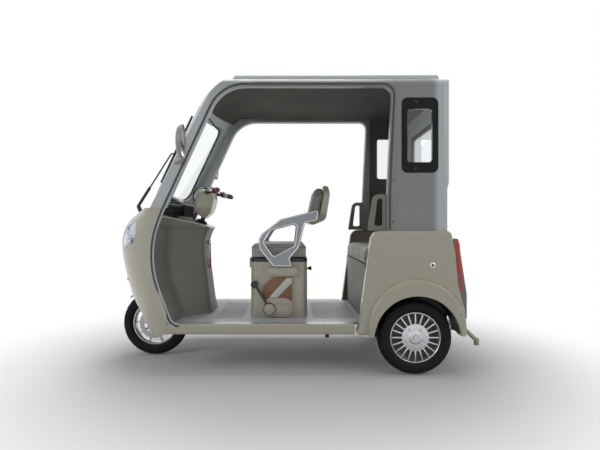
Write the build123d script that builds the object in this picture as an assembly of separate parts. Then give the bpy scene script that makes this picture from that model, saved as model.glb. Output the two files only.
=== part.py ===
from build123d import *
import os
from math import atan, cos, hypot, pi, radians, sin, tan

# Electric cabin three-wheeler, in millimetres.
# X runs from the nose (-X) to the tail (+X), the driver's left is -Y and +Z is up.
# The origin lies on the ground under the middle of the vehicle.

os.makedirs("parts", exist_ok=True)

# Fits
SEAM = 0.6            # gap between neighbouring panels
SEAT = 0.3            # gap under a piece that rests on another
RUNNING = 0.3         # radial play of a wheel on its axle

# Wheels
TYRE_RADIUS = 215.0
FRONT_AXLE_X = -940.0
REAR_AXLE_X = 689.0
FRONT_TYRE_WIDTH = 90.0
REAR_TYRE_WIDTH = 112.0
RIM_RADIUS = 146.0
AXLE_Z = TYRE_RADIUS
FRONT_SPINDLE = 8.0
REAR_SPINDLE = 14.0

# Body widths and heights
HALF_BODY = 475.0
HALF_QUARTER = HALF_BODY + 23
FLARE_OUT = 20.0
REAR_TYRE_OUTER = HALF_BODY - 1
SILL_WIDE = 71.0        # sill's width, outside the floor pan
FLOOR_HALF = HALF_BODY - SILL_WIDE
SILL_BOTTOM = 236.0
FLOOR_TOP = 297.0
FLOOR_THICK = 13.0
SHOULDER_Z = 833.0
BELT_Z = 966.0
DOOR_TOP = 1663.0
RIM_Z = 1707.0
CROWN_Z = 1738.0
POD_RISE = 50.0
CAB_REAR = 890.0
CAB_WAIST_REAR = 870.0

# Wall thicknesses
COWL_WALL = 8.0
QUARTER_WALL = 7.0
PILLAR_WALL = 40.0
ROOF_WALL = 18.0
LINER_WALL = 7.0
CAB_WALL = 22.0
SCREEN_WALL = 26.0
GLASS = 6.0

# Panel splits
PILLAR_IN = HALF_BODY - PILLAR_WALL - 3.0
HEADER_Z = 1640.0
POST_X = 575.0
COWL_SILL_X = -746.0
SILL_QUARTER_X = 338.0

# Screen: a cone about a vertical axis behind it, with a round brow
SCREEN_AXIS_X = 400.0
SCREEN_RAKE = 25.1
BROW_RADIUS = 236.0
BROW_X = -415.0

# Steering
STEER_X = -630.0
STEER_Z = 900.0
STEER_RAKE = 22.0
STEM_RADIUS = 15.0

# Driver's seat
BOX_FRONT = -280.0
BOX_REAR = 71.0
BOX_HALF = 267.0
BOX_TOP = 639.0
BOX_WALL = 8.0
LID_TOP = 661.0
CUSHION_TOP = 752.0

# Rear bench
BENCH_FRONT = 402.0
BENCH_HALF = HALF_BODY - 45
BENCH_BASE_TOP = 636.0
BENCH_CUSHION_TOP = 740.0


def slab(x_low, x_high, y_low, y_high, z_low, z_high):
    """Block between two corners."""
    size = Box(x_high - x_low, y_high - y_low, z_high - z_low)
    return Pos((x_low + x_high) / 2, (y_low + y_high) / 2, (z_low + z_high) / 2) * size


def across(corners, radii, y_low, y_high):
    """Side outline of (x, z) corners, extruded across the vehicle."""
    line = FilletPolyline(*[(x, y_low, z) for x, z in corners], radius=radii, close=True)
    return extrude(make_face(line), amount=y_high - y_low, dir=(0, 1, 0))


def upright(corners, radii, z_low, z_high):
    """Plan outline of (x, y) corners, extruded upwards."""
    line = FilletPolyline(*[(x, y, z_low) for x, y in corners], radius=radii, close=True)
    return extrude(make_face(line), amount=z_high - z_low, dir=(0, 0, 1))


def along(corners, radii, x_low, x_high):
    """Front outline of (y, z) corners, extruded along the vehicle."""
    line = FilletPolyline(*[(x_low, y, z) for y, z in corners], radius=radii, close=True)
    return extrude(make_face(line), amount=x_high - x_low, dir=(1, 0, 0))


def rod(start, end, radius):
    """Round bar between two points."""
    way = Vector(*end) - Vector(*start)
    return extrude(Plane(origin=start, z_dir=way) * Circle(radius), amount=way.length)


def turned(profile, x, z):
    """Ring about a wheel's axis from (radius, y) corners."""
    line = Polyline(*[(x + r, y, z) for r, y in profile], close=True)
    return revolve(make_face(line), axis=Axis((x, 0, z), (0, 1, 0)), revolution_arc=360)


def mirrored(part):
    """The same piece on the other side."""
    return mirror(part, about=Plane.XZ)


def pair(part):
    """Left and right copies as separate solids of one node."""
    return Compound([part, mirrored(part)])


def save(name, part):
    """Write one node."""
    export_step(part, f"parts/{name}.step")


# Upper cab: one master volume, from which panels are cut

def crown_volume(inset, z_low):
    """Front outline of the cab with its rim and crowned roof."""
    side = HALF_BODY - inset
    top = CROWN_Z - inset
    corners = [(-side, z_low), (-side, RIM_Z - inset), (-300, top), (300, top), (side, RIM_Z - inset),
               (side, z_low)]
    rim = max(38 - inset, 6)
    return along(corners, [0, rim, 250, 250, rim, 0], -1300, CAB_REAR - inset)


def screen_volume(inset, z_low):
    """Everything behind the raked screen and under the brow."""
    lean = radians(SCREEN_RAKE)
    centre_z = CROWN_Z - BROW_RADIUS
    reach = BROW_RADIUS - inset
    join = (BROW_X - reach * cos(lean), centre_z + reach * sin(lean))
    foot_x = join[0] - (join[1] - z_low) * tan(lean)
    middle = radians((90 + SCREEN_RAKE) / 2)
    brow_middle = (BROW_X - reach * cos(middle), centre_z + reach * sin(middle))
    top = (BROW_X, CROWN_Z - inset)
    face = make_face([
        Line((SCREEN_AXIS_X, 0, z_low), (foot_x, 0, z_low)),
        Line((foot_x, 0, z_low), (join[0], 0, join[1])),
        ThreePointArc((join[0], 0, join[1]), (brow_middle[0], 0, brow_middle[1]), (top[0], 0, top[1])),
        Line((top[0], 0, top[1]), (SCREEN_AXIS_X, 0, top[1])),
        Line((SCREEN_AXIS_X, 0, top[1]), (SCREEN_AXIS_X, 0, z_low)),
    ])
    return revolve(face, axis=Axis((SCREEN_AXIS_X, 0, 0), (0, 0, 1)), revolution_arc=360)


def cab_volume(inset):
    """Outer form of the upper cab, drawn in by a wall thickness."""
    z_low = SHOULDER_Z - 40
    body = crown_volume(inset, z_low)
    ahead = slab(-1400, 0, -600, 600, z_low - 10, CROWN_Z + 10) - screen_volume(inset, z_low - 20)
    rear_line = [(-1400, z_low - 5), (-1400, CROWN_Z + 60), (CAB_REAR - inset, CROWN_Z - inset),
                 (CAB_REAR - inset, 1128), (CAB_WAIST_REAR - inset, 1075),
                 (CAB_WAIST_REAR - inset, z_low - 5)]
    tail = across([rear_line[0], (-1400, CROWN_Z - inset)] + rear_line[2:], [0, 0, 60 - inset, 0, 0, 0],
                  -600, 600)
    corner = 46 - inset
    plan = upright([(-1400, -HALF_BODY + inset), (CAB_REAR - inset, -HALF_BODY + inset),
                    (CAB_REAR - inset, HALF_BODY - inset), (-1400, HALF_BODY - inset)],
                   [0, corner, corner, 0], z_low - 5, CROWN_Z + 5)
    return (body - ahead) & tail & plan


DOOR_CORNERS = [
    # x, z, radius
    (-722.0, 290.0, 0),
    (-856.0, 687.0, 500),
    (-765.0, 935.0, 150),
    (-426.0, DOOR_TOP, 205),
    (552.0, DOOR_TOP, 52),
    (524.0, 1049.0, 300),
    (524.0, 700.0, 0),
    (300.0, 290.0, 0),
]


def door_volume(y_low, y_high):
    """Door opening as a cutter."""
    corners = [(x, z) for x, z, radius in DOOR_CORNERS]
    return across(corners, [radius for x, z, radius in DOOR_CORNERS], y_low, y_high)


OUTER = cab_volume(0)
OUTER_PILLAR = cab_volume(-SEAT)
ROUND_DOOR = door_volume(-700, 700)


def wall(thickness):
    return OUTER - cab_volume(thickness)


def side_frame():
    """A-pillar, roof rail and rear post round the left door opening."""
    shell = wall(PILLAR_WALL) & slab(-1300, POST_X, -600, -PILLAR_IN, SHOULDER_Z, CROWN_Z + 62)
    shell -= slab(-1300, 0, -600, 600, 0, BELT_Z)
    return shell - ROUND_DOOR


SCREEN_CORNERS = [
    # y, z, radius
    (-392.0, 1050.0, 70),
    (392.0, 1050.0, 70),
    (372.0, 1592.0, 60),
    (-372.0, 1592.0, 60),
]


def window_cutter(corners, shrink, x_low, x_high):
    """Rounded window seen from the front, drawn in by shrink."""
    middle_z = sum(z for y, z, r in corners) / len(corners)
    drawn = [(y - shrink * (1 if y > 0 else -1), z - shrink * (1 if z > middle_z else -1))
             for y, z, r in corners]
    return along(drawn, [r - shrink / 2 for y, z, r in corners], x_low, x_high)


def screen_frame():
    shell = wall(SCREEN_WALL) & slab(-1300, -200, -PILLAR_IN + SEAM, PILLAR_IN - SEAM, BELT_Z, HEADER_Z)
    return shell - window_cutter(SCREEN_CORNERS, 0, -1300, -200)


def screen_glass():
    shell = cab_volume(4) - cab_volume(4 + GLASS)
    return shell & window_cutter(SCREEN_CORNERS, SEAM, -1300, -200)


def roof_shell():
    shell = wall(ROOF_WALL) & slab(-1300, CAB_REAR + 10, -PILLAR_IN + SEAM, PILLAR_IN - SEAM,
                                   HEADER_Z + SEAM, CROWN_Z + 62)
    foot, top = CROWN_Z - 10, CROWN_Z + POD_RISE
    pod_corners = [(-406, foot), (-366, top), (CAB_REAR - 27, top), (CAB_REAR - 10, foot)]
    pod = across(pod_corners, [0, 20, 14, 0], -320, 320)
    pod &= along([(-320, foot - 28), (-306, top), (306, top), (320, foot - 28)], [0, 18, 18, 0], -500, 900)
    hollow = across([(-380, foot - 28), (-352, top - 10), (CAB_REAR - 40, top - 10),
                     (CAB_REAR - 28, foot - 28)],
                    [0, 12, 8, 0], -296, 296)
    hollow &= slab(-400, CAB_REAR - 30, -296, 296, CROWN_Z - 2, top - 10)
    return shell + (pod - cab_volume(ROOF_WALL / 2)) - hollow


def headliner():
    shell = cab_volume(ROOF_WALL + SEAT) - cab_volume(ROOF_WALL + SEAT + LINER_WALL)
    return shell & slab(-1300, CAB_REAR - CAB_WALL - 2, -PILLAR_IN + SEAM, PILLAR_IN - SEAM,
                        HEADER_Z + SEAM, CROWN_Z + 62)


SIDE_WINDOW = [(604.0, 1166.0), (816.0, 1166.0), (816.0, 1599.0), (604.0, 1599.0)]
SIDE_GLASS = [(637.0, 1227.0), (781.0, 1227.0), (781.0, 1533.0), (637.0, 1533.0)]
BACK_WINDOW = [(-330.0, 1190.0, 40), (330.0, 1190.0, 40), (330.0, 1520.0, 40), (-330.0, 1520.0, 40)]


def side_window_cutter(corners, shrink, radius):
    x_low, z_low = corners[0]
    x_high, z_high = corners[2]
    drawn = [(x_low + shrink, z_low + shrink), (x_high - shrink, z_low + shrink),
             (x_high - shrink, z_high - shrink), (x_low + shrink, z_high - shrink)]
    return across(drawn, radius - shrink, -600, 0)


def cab_side():
    shell = wall(CAB_WALL) & slab(POST_X + SEAM, 1000, -600, -PILLAR_IN, SHOULDER_Z, CROWN_Z + 62)
    return shell - side_window_cutter(SIDE_WINDOW, 0, 36)


def side_window_frame():
    ring = side_window_cutter(SIDE_WINDOW, SEAT, 36) - side_window_cutter(SIDE_GLASS, 0, 18)
    return ring & slab(500, 900, -HALF_BODY - 1, -HALF_BODY + CAB_WALL, 1100, 1700)


def side_window_glass():
    pane = side_window_cutter(SIDE_GLASS, SEAT, 18)
    return pane & slab(500, 900, -HALF_BODY + 4, -HALF_BODY + 4 + GLASS, 1100, 1700)


def cab_back():
    inner = PILLAR_IN - SEAM
    shell = wall(CAB_WALL) & slab(600, 1000, -inner, inner, SHOULDER_Z, HEADER_Z)
    return shell - window_cutter(BACK_WINDOW, 0, 700, 1000)


def back_window_frame():
    ring = window_cutter(BACK_WINDOW, SEAT, 700, 1000) - window_cutter(BACK_WINDOW, 30, 700, 1000)
    return ring & slab(CAB_REAR - CAB_WALL, CAB_REAR + 1, -400, 400, 1100, 1600)


def back_window_glass():
    pane = window_cutter(BACK_WINDOW, 30 + SEAT, 700, 1000)
    return pane & slab(CAB_REAR - 4 - GLASS, CAB_REAR - 4, -400, 400, 1100, 1600)


# Nose: level sections, each a two-arc oval front with straight sides

NOSE_SECTIONS = [
    # z, front x, x where the side starts, half width, corner radius
    (225.0, -1012.0, -745.0, HALF_BODY - 5, 190.0),
    (435.0, -1072.0, -750.0, HALF_BODY, 200.0),
    (640.0, -1128.0, -755.0, HALF_BODY, 205.0),
    (830.0, -1125.0, -770.0, HALF_BODY, 190.0),
    (905.0, -1075.0, -785.0, HALF_BODY, 150.0),
    (985.0, -918.0, -800.0, HALF_BODY, 80.0),
]
NOSE_BACK = -540.0


def nose_section(z, front, side_start, half, corner, inset):
    """Closed level outline: oval front, straight sides, square back."""
    front += inset
    half -= inset
    corner -= inset
    p = half - corner
    q = (side_start - front) - corner
    turn = 2 * atan(q / p)
    big = p / sin(turn) + corner
    join_x = front + big * (1 - cos(turn))
    join_y = big * sin(turn)
    centre_x = join_x + corner * cos(turn)
    centre_y = join_y - corner * sin(turn)
    half_turn = (pi / 2 - turn) / 2 + turn
    mid_x = centre_x - corner * cos(half_turn)
    mid_y = centre_y + corner * sin(half_turn)
    edges = [
        ThreePointArc((join_x, -join_y, z), (front, 0, z), (join_x, join_y, z)),
        ThreePointArc((join_x, join_y, z), (mid_x, mid_y, z), (centre_x, half, z)),
        Line((centre_x, half, z), (NOSE_BACK, half, z)),
        Line((NOSE_BACK, half, z), (NOSE_BACK, -half, z)),
        Line((NOSE_BACK, -half, z), (centre_x, -half, z)),
        ThreePointArc((centre_x, -half, z), (mid_x, -mid_y, z), (join_x, -join_y, z)),
    ]
    return make_face(edges)


def nose_volume(inset):
    return loft([nose_section(*row, inset) for row in NOSE_SECTIONS])


WHEEL_NOTCH = [
    # x, z, radius
    (-1200.0, 470.0, 0),
    (-1045.0, 452.0, 60),
    (-900.0, 325.0, 200),
    (-850.0, SILL_BOTTOM, 90),
    (-740.0, SILL_BOTTOM, 0),
    (-680.0, 180.0, 0),
    (-1200.0, 180.0, 0),
]

LAMP_CORNERS = [
    # y, z, radius
    (-212.0, 742.0, 24),
    (-300.0, 728.0, 60),
    (-392.0, 800.0, 34),
    (-372.0, 890.0, 22),
    (-262.0, 868.0, 70),
]


def lamp_cutter(grow):
    middle_y = sum(row[0] for row in LAMP_CORNERS) / len(LAMP_CORNERS)
    middle_z = sum(row[1] for row in LAMP_CORNERS) / len(LAMP_CORNERS)
    drawn = []
    for y, z, radius in LAMP_CORNERS:
        reach = hypot(y - middle_y, z - middle_z)
        scale_up = (reach + grow * 1.3) / reach
        drawn.append((middle_y + (y - middle_y) * scale_up, middle_z + (z - middle_z) * scale_up))
    return along(drawn, [radius + grow for y, z, radius in LAMP_CORNERS], -1300, -880)


def front_cowl():
    shell = nose_volume(0) - nose_volume(COWL_WALL)
    shell &= slab(-1300, COWL_SILL_X, -600, 600, SILL_BOTTOM, BELT_Z - SEAM)
    notch = across([row[:2] for row in WHEEL_NOTCH], [row[2] for row in WHEEL_NOTCH], -600, 600)
    shell = shell - notch - ROUND_DOOR
    for cutter in (lamp_cutter(SEAT), mirrored(lamp_cutter(SEAT))):
        shell -= cutter
    return shell


LAMP_RIM = 9.0


def lamp_rim():
    band = nose_volume(-3) - nose_volume(26)
    return band & (lamp_cutter(0) - lamp_cutter(-LAMP_RIM))


def lamp_lens():
    band = nose_volume(-1) - nose_volume(COWL_WALL)
    return band & lamp_cutter(-LAMP_RIM - SEAT)


def lamp_bowl():
    band = nose_volume(COWL_WALL + SEAT) - nose_volume(26)
    return band & lamp_cutter(-LAMP_RIM)


# Inner front: leg shield with its tunnel, dash

SHIELD_SECTIONS = [
    # z, tunnel rear x, side x
    (FLOOR_TOP + SEAT, -540.0, -716.0),
    (440.0, -566.0, -762.0),
    (580.0, -584.0, -806.0),
    (714.0, -597.0, -816.0),
    (846.0, -562.0, -796.0),
]
SHIELD_WALL = 8.0
SHIELD_HALF = HALF_BODY - 17
TUNNEL_HALF = 118.0


def shield_section(z, tunnel_x, side_x):
    """Thin closed band across the cab, bulging rearwards at the tunnel."""
    wide = SHIELD_HALF
    t = SHIELD_WALL
    rear = [(side_x, -wide), (side_x + 18, -250), (tunnel_x, -TUNNEL_HALF), (tunnel_x, TUNNEL_HALF),
            (side_x + 18, 250), (side_x, wide)]
    front = [(side_x - t, wide), (side_x + 18 - t, 250 - t), (tunnel_x - t, TUNNEL_HALF - t),
             (tunnel_x - t, -TUNNEL_HALF + t), (side_x + 18 - t, -250 + t), (side_x - t, -wide)]
    points = [(x, y, z) for x, y in rear + front]
    radii = [0, 70, 40, 40, 70, 0, 0, 78, 32, 32, 78, 0]
    return make_face(FilletPolyline(*points, radius=radii, close=True))


def leg_shield():
    return loft([shield_section(*row) for row in SHIELD_SECTIONS])


DASH_LINE = [
    # x, z of the dash's upper face
    (-560.0, 856.0),
    (-640.0, 884.0),
    (-750.0, 908.0),
    (-905.0, 952.0),
]
DASH_THICK = 9.0
BOOT_RADIUS = 46.0


def steer_point(height, ahead=0.0, side=0.0):
    """Point in the steering column's own frame: along the axis, ahead of it, to the side."""
    lean = radians(STEER_RAKE)
    x = STEER_X + height * sin(lean) - ahead * cos(lean)
    z = STEER_Z + height * cos(lean) + ahead * sin(lean)
    return (x, side, z)


def steer_plane(height):
    """Plane square to the steering axis."""
    return Plane(origin=steer_point(height), x_dir=(0, 1, 0),
                 z_dir=(sin(radians(STEER_RAKE)), 0, cos(radians(STEER_RAKE))))


def dash_top():
    lower = [(x, z - DASH_THICK) for x, z in reversed(DASH_LINE)]
    skin = across(DASH_LINE + lower, 0, -SHIELD_HALF, SHIELD_HALF)
    side = SHIELD_HALF - 8
    plan = upright([(-560, -TUNNEL_HALF), (-780, -250), (-796, -side), (-1000, -side), (-1000, side),
                    (-796, side),
                    (-780, 250), (-560, TUNNEL_HALF)], [40, 70, 0, 0, 0, 0, 70, 40], 800, 1000)
    bore = extrude(steer_plane(-60) * Circle(BOOT_RADIUS - 8), amount=120)
    return (skin & plan & nose_volume(COWL_WALL + SEAM)) - bore


def under_dash(lift):
    """Everything below the dash's upper face, raised by lift."""
    line = [(x, z + lift) for x, z in DASH_LINE]
    return across(line + [(-905, 780), (-560, 780)], 0, -200, 200)


def column_boot():
    """Rubber bellows on the dash round the steering stem."""
    hole = STEM_RADIUS + 4
    line = Polyline((hole, 0, -34), (BOOT_RADIUS, 0, -34), (BOOT_RADIUS - 3, 0, -18),
                    (BOOT_RADIUS - 10, 0, -13),
                    (BOOT_RADIUS - 8, 0, -8), (BOOT_RADIUS - 18, 0, 0), (hole, 0, 0), close=True)
    body = revolve(make_face(line), axis=Axis.Z, revolution_arc=360)
    return (steer_plane(2).location * body) - under_dash(SEAT)


def instrument_panel():
    hood = across([(-868, 938), (-852, 1030), (-800, 1050), (-722, 1000), (-730, 920)],
                  [10, 30, 60, 14, 10], -150, 150)
    hood &= along([(-150, 900), (-150, 1000), (-96, 1060), (96, 1060), (150, 1000), (150, 900)],
                  [0, 60, 60, 60, 60, 0], -900, -700)
    return hood - under_dash(SEAT)


# Floor, sills and chassis

NECK_KNEE = (-640.0, 0.0, 340.0)
NECK_NOTCH_X = -558.0
NECK_NOTCH_HALF = 40.0


def floor_pan():
    side = FLOOR_HALF
    corners = [(-742, -side), (400, -side), (400, side), (-742, side), (-742, 262), (-690, 215),
               (-690, -215), (-742, -262)]
    plate = upright(corners, [0, 0, 0, 0, 12, 30, 30, 12], FLOOR_TOP - FLOOR_THICK, FLOOR_TOP)
    return plate - slab(-800, NECK_NOTCH_X, -NECK_NOTCH_HALF, NECK_NOTCH_HALF, 0, 500)


def side_sill():
    inner = -FLOOR_HALF - SEAM
    outer = along([(-HALF_BODY, SILL_BOTTOM), (inner, SILL_BOTTOM), (inner, FLOOR_TOP),
                   (-HALF_BODY, FLOOR_TOP)],
                  [14, 0, 0, 12], COWL_SILL_X + SEAM, SILL_QUARTER_X - SEAM)
    web = -FLOOR_HALF - 14
    hollow = along([(-HALF_BODY + 5, SILL_BOTTOM - 2), (web, SILL_BOTTOM - 2), (web, FLOOR_TOP - 5),
                    (-HALF_BODY + 5, FLOOR_TOP - 5)], [0, 6, 6, 8], -800, 400)
    return outer - (hollow & slab(-800, 400, -HALF_BODY + 12, web + 8, SILL_BOTTOM - 5, FLOOR_TOP - 5))


RAIL_Y = 215.0
RAIL_HALF = 20.0
RAIL_TOP = FLOOR_TOP - FLOOR_THICK
RAIL_FRONT = -600.0
RAIL_REAR = 888.0
KICK_Z = 360.0
HEAD_LOW = -452.0
HEAD_HIGH = -285.0
HEAD_RADIUS = 27.0
SPRING_Y = 265.0
SPRING_HALF = 25.0
SPRING_EYE_Z = 338.0
SPRING_REACH = 187.0


def chassis_frame():
    """Ladder frame, kick-up over the rear axle, neck and head tube."""
    rail_line = [(RAIL_FRONT, RAIL_TOP - 40), (RAIL_FRONT, RAIL_TOP), (460, RAIL_TOP), (540, KICK_Z + 40),
                 (RAIL_REAR, KICK_Z + 40), (RAIL_REAR, KICK_Z), (560, KICK_Z), (470, RAIL_TOP - 40)]
    frame = None
    for side in (-1, 1):
        y_low = side * RAIL_Y - RAIL_HALF
        rail = across(rail_line, [0, 0, 60, 60, 0, 0, 60, 60], y_low, y_low + 2 * RAIL_HALF)
        frame = rail if frame is None else frame + rail
        for x in (REAR_AXLE_X - SPRING_REACH, REAR_AXLE_X + SPRING_REACH):
            frame += slab(x - 11, x + 11, side * (SPRING_Y - 3) - 28, side * (SPRING_Y - 3) + 28,
                          SPRING_EYE_Z + SEAT, SPRING_EYE_Z + 34)
    for x in (RAIL_FRONT + 20, -160, 180, 430):
        frame += slab(x - 20, x + 20, -RAIL_Y, RAIL_Y, RAIL_TOP - 38, RAIL_TOP - 2)
    for x in (-380, 0, 300):
        frame += slab(x - 15, x + 15, -FLOOR_HALF + 2, FLOOR_HALF - 2, RAIL_TOP - 30, RAIL_TOP)
    frame += slab(836, 876, -RAIL_Y, RAIL_Y, KICK_Z + 2, KICK_Z + 38)
    neck_top = steer_point(-330)
    frame += rod(neck_top, NECK_KNEE, 24)
    frame += Pos(*NECK_KNEE) * Sphere(24)
    frame += (rod(NECK_KNEE, (RAIL_FRONT + 20, 0, RAIL_TOP - 20), 24)
              & slab(-800, 0, -50, 50, RAIL_TOP - 38, 500))
    head = extrude(steer_plane(HEAD_LOW) * Circle(HEAD_RADIUS), amount=HEAD_HIGH - HEAD_LOW)
    bore = extrude(steer_plane(HEAD_LOW - 5) * Circle(STEM_RADIUS + RUNNING),
                   amount=HEAD_HIGH - HEAD_LOW + 10)
    return frame + head - bore


# Rear body

QUARTER_LINE = [
    # x, z, radius
    (336.0 + 2 * SEAM, SILL_BOTTOM, 20),
    (363.0, 298.0, 60),
    (434.0, SHOULDER_Z, 60),
    (885.0, SHOULDER_Z, 30),
    (912.0, 700.0, 200),
    (925.0, 530.0, 90),
    (966.0, 380.0, 120),
    (966.0, SILL_BOTTOM, 26),
]
ARCH_RADIUS = 248.0
RIDGE_RADIUS = 279.0
RIDGE_RISE = 62.0
LINER_IN = HALF_BODY - 135


def quarter_volume(inset, half):
    """Side outline of the rear body drawn in by inset."""
    corners = [(x + inset if x < 500 else x - inset,
                z + inset if z < 299 else z - (inset if z > 800 else 0))
               for x, z, radius in QUARTER_LINE]
    radii = [max(radius - inset, 1) for x, z, radius in QUARTER_LINE]
    return across(corners, radii, -half, half)


def quarter_panel():
    body = quarter_volume(0, HALF_QUARTER)
    body = fillet(body.faces().sort_by(Axis.Y)[0].edges(), 16)
    body -= quarter_volume(QUARTER_WALL, HALF_QUARTER - QUARTER_WALL)
    body &= slab(300, 1000, -600, -PILLAR_IN, 200, 900)
    arch = rod((REAR_AXLE_X, -600, AXLE_Z), (REAR_AXLE_X, 0, AXLE_Z), ARCH_RADIUS)
    ridge = rod((REAR_AXLE_X, -HALF_QUARTER - FLARE_OUT, AXLE_Z + RIDGE_RISE),
                (REAR_AXLE_X, -HALF_QUARTER + QUARTER_WALL, AXLE_Z + RIDGE_RISE), RIDGE_RADIUS)
    ridge = fillet(ridge.faces().sort_by(Axis.Y)[0].edges(), 17)
    body += ridge & slab(300, 966, -600, -PILLAR_IN, SILL_BOTTOM, 900)
    body -= arch
    body -= slab(300, 1000, -600, -PILLAR_IN + 1, 200, SILL_BOTTOM)
    return body


def cab_clear():
    """Room for the upper cab's foot inside the shoulder."""
    side = HALF_BODY + SEAT
    return slab(POST_X - 60, CAB_WAIST_REAR + SEAT, -side, side, SHOULDER_Z - 60, 900)


def wheel_liner():
    arch = rod((REAR_AXLE_X, -HALF_QUARTER + QUARTER_WALL + 1, AXLE_Z), (REAR_AXLE_X, -LINER_IN, AXLE_Z),
               ARCH_RADIUS + 5)
    hole = rod((REAR_AXLE_X, -600, AXLE_Z), (REAR_AXLE_X, 0, AXLE_Z), ARCH_RADIUS)
    shell = (arch - hole) & slab(420, 960, -600, 0, SILL_BOTTOM + QUARTER_WALL + SEAT, 600)
    disc = rod((REAR_AXLE_X, -LINER_IN - 4, AXLE_Z), (REAR_AXLE_X, -LINER_IN, AXLE_Z), ARCH_RADIUS + 5)
    disc = disc & slab(420, 960, -600, 0, AXLE_Z + 120, 600)
    return shell + disc


REAR_PANEL_BOTTOM = 374.0


def rear_panel():
    inner = PILLAR_IN - SEAM
    shell = quarter_volume(0, HALF_QUARTER) - quarter_volume(QUARTER_WALL, HALF_QUARTER + 5)
    shell &= slab(700, 1000, -inner, inner, REAR_PANEL_BOTTOM, 900)
    shell -= slab(0, CAB_WAIST_REAR + SEAM, -600, 600, SHOULDER_Z - 1, 900)
    return shell & slab(868, 1000, -600, 600, 0, 900)


TAIL_LAMP = [
    # x, z, radius
    (880.0, 770.0, 0),
    (917.0, 781.0, 0),
    (938.0, 761.0, 10),
    (961.0, 505.0, 8),
    (952.0, 470.0, 6),
    (900.0, 470.0, 0),
]


def tail_lamp():
    block = across([row[:2] for row in TAIL_LAMP], [row[2] for row in TAIL_LAMP], -HALF_BODY + 1,
                   -HALF_BODY + 83)
    return block - quarter_volume(-SEAT, 600)


def tail_trim():
    block = across([(900, 790), (926, 786), (975, 470), (975, 326), (900, 326)], [0, 6, 40, 10, 0],
                   -HALF_BODY - 11, -HALF_BODY)
    return block - quarter_volume(-SEAT, 600)


GRAB_OUTER = [(523.7, 1044.0, 0), (446.0, 1044.0, 40), (413.0, 834.0, 8), (523.7, 834.0, 0)]
GRAB_INNER = [(501.0, 1020.0, 10), (468.0, 1020.0, 18), (448.0, 862.0, 12), (501.0, 862.0, 12)]


def grab_frame():
    outer = across([row[:2] for row in GRAB_OUTER], [row[2] for row in GRAB_OUTER], -HALF_BODY + 7,
                   -HALF_BODY + 33)
    inner = across([row[:2] for row in GRAB_INNER], [row[2] for row in GRAB_INNER], -HALF_BODY - 5,
                   -HALF_BODY + 45)
    return outer - inner


def bench_base():
    top = slab(BENCH_FRONT, 862, -BENCH_HALF, BENCH_HALF, BENCH_BASE_TOP - 12, BENCH_BASE_TOP)
    face = across([(BENCH_FRONT, FLOOR_TOP + SEAT), (BENCH_FRONT + 12, FLOOR_TOP + SEAT),
                   (BENCH_FRONT + 12, 620),
                   (BENCH_FRONT, 636)], 0, -BENCH_HALF, BENCH_HALF)
    base = top + face
    for side in (-1, 1):
        y_low = side * (BENCH_HALF - 98) - 5
        base += across([(BENCH_FRONT + 5, 310), (470, 310), (530, 420), (862, 420), (862, 630),
                        (BENCH_FRONT + 5, 630)],
                       0, y_low, y_low + 10)
    return base


def bench_cushion():
    outline = [(386, BENCH_BASE_TOP + SEAT), (800, BENCH_BASE_TOP + SEAT), (800, BENCH_CUSHION_TOP),
               (386, BENCH_CUSHION_TOP)]
    pad = across(outline, [20, 12, 20, 46], -BENCH_HALF + 12, BENCH_HALF - 12)
    return pad


def bench_back():
    return across([(802, BENCH_BASE_TOP + SEAT), (CAB_WAIST_REAR - CAB_WALL - SEAM, BENCH_BASE_TOP + SEAT),
                   (CAB_WAIST_REAR - CAB_WALL - SEAM, 1060), (808, 1060)], [6, 0, 12, 20],
                  -BENCH_HALF + 20, BENCH_HALF - 20)


# Driver's seat

def seat_box():
    outer = upright([(BOX_FRONT, -BOX_HALF), (BOX_REAR, -BOX_HALF), (BOX_REAR, BOX_HALF),
                     (BOX_FRONT, BOX_HALF)],
                    40, FLOOR_TOP + SEAT, BOX_TOP)
    inner = upright([(BOX_FRONT + BOX_WALL, -BOX_HALF + BOX_WALL),
                     (BOX_REAR - BOX_WALL, -BOX_HALF + BOX_WALL),
                     (BOX_REAR - BOX_WALL, BOX_HALF - BOX_WALL),
                     (BOX_FRONT + BOX_WALL, BOX_HALF - BOX_WALL)],
                    32, FLOOR_TOP + SEAT + BOX_WALL, BOX_TOP + 10)
    box = outer - inner
    for bracket in lid_hinge():
        box += bracket
    return box


def battery_pack():
    return slab(BOX_FRONT + 20, BOX_REAR - 20, -BOX_HALF + 32, BOX_HALF - 32,
                FLOOR_TOP + SEAT + BOX_WALL + SEAT, 500)


HINGE_X = BOX_FRONT - 8
HINGE_Z = BOX_TOP + 13


def seat_lid():
    """Black lid plate whose skirt closes the box, with its hinge knuckles."""
    plate = upright([(BOX_FRONT, -BOX_HALF), (BOX_REAR, -BOX_HALF), (BOX_REAR, BOX_HALF),
                     (BOX_FRONT, BOX_HALF)],
                    40, BOX_TOP + SEAM, LID_TOP)
    for side in (-1, 1):
        arm = across([(HINGE_X - 7, HINGE_Z - 7), (BOX_FRONT + 6, HINGE_Z - 7),
                      (BOX_FRONT + 6, HINGE_Z + 7), (HINGE_X - 7, HINGE_Z + 7)],
                     [6.9, 0, 0, 6.9], side * 150 - 14, side * 150 + 14)
        plate += arm
    return plate - rod((HINGE_X, -300, HINGE_Z), (HINGE_X, 300, HINGE_Z), 3 + RUNNING)


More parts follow.
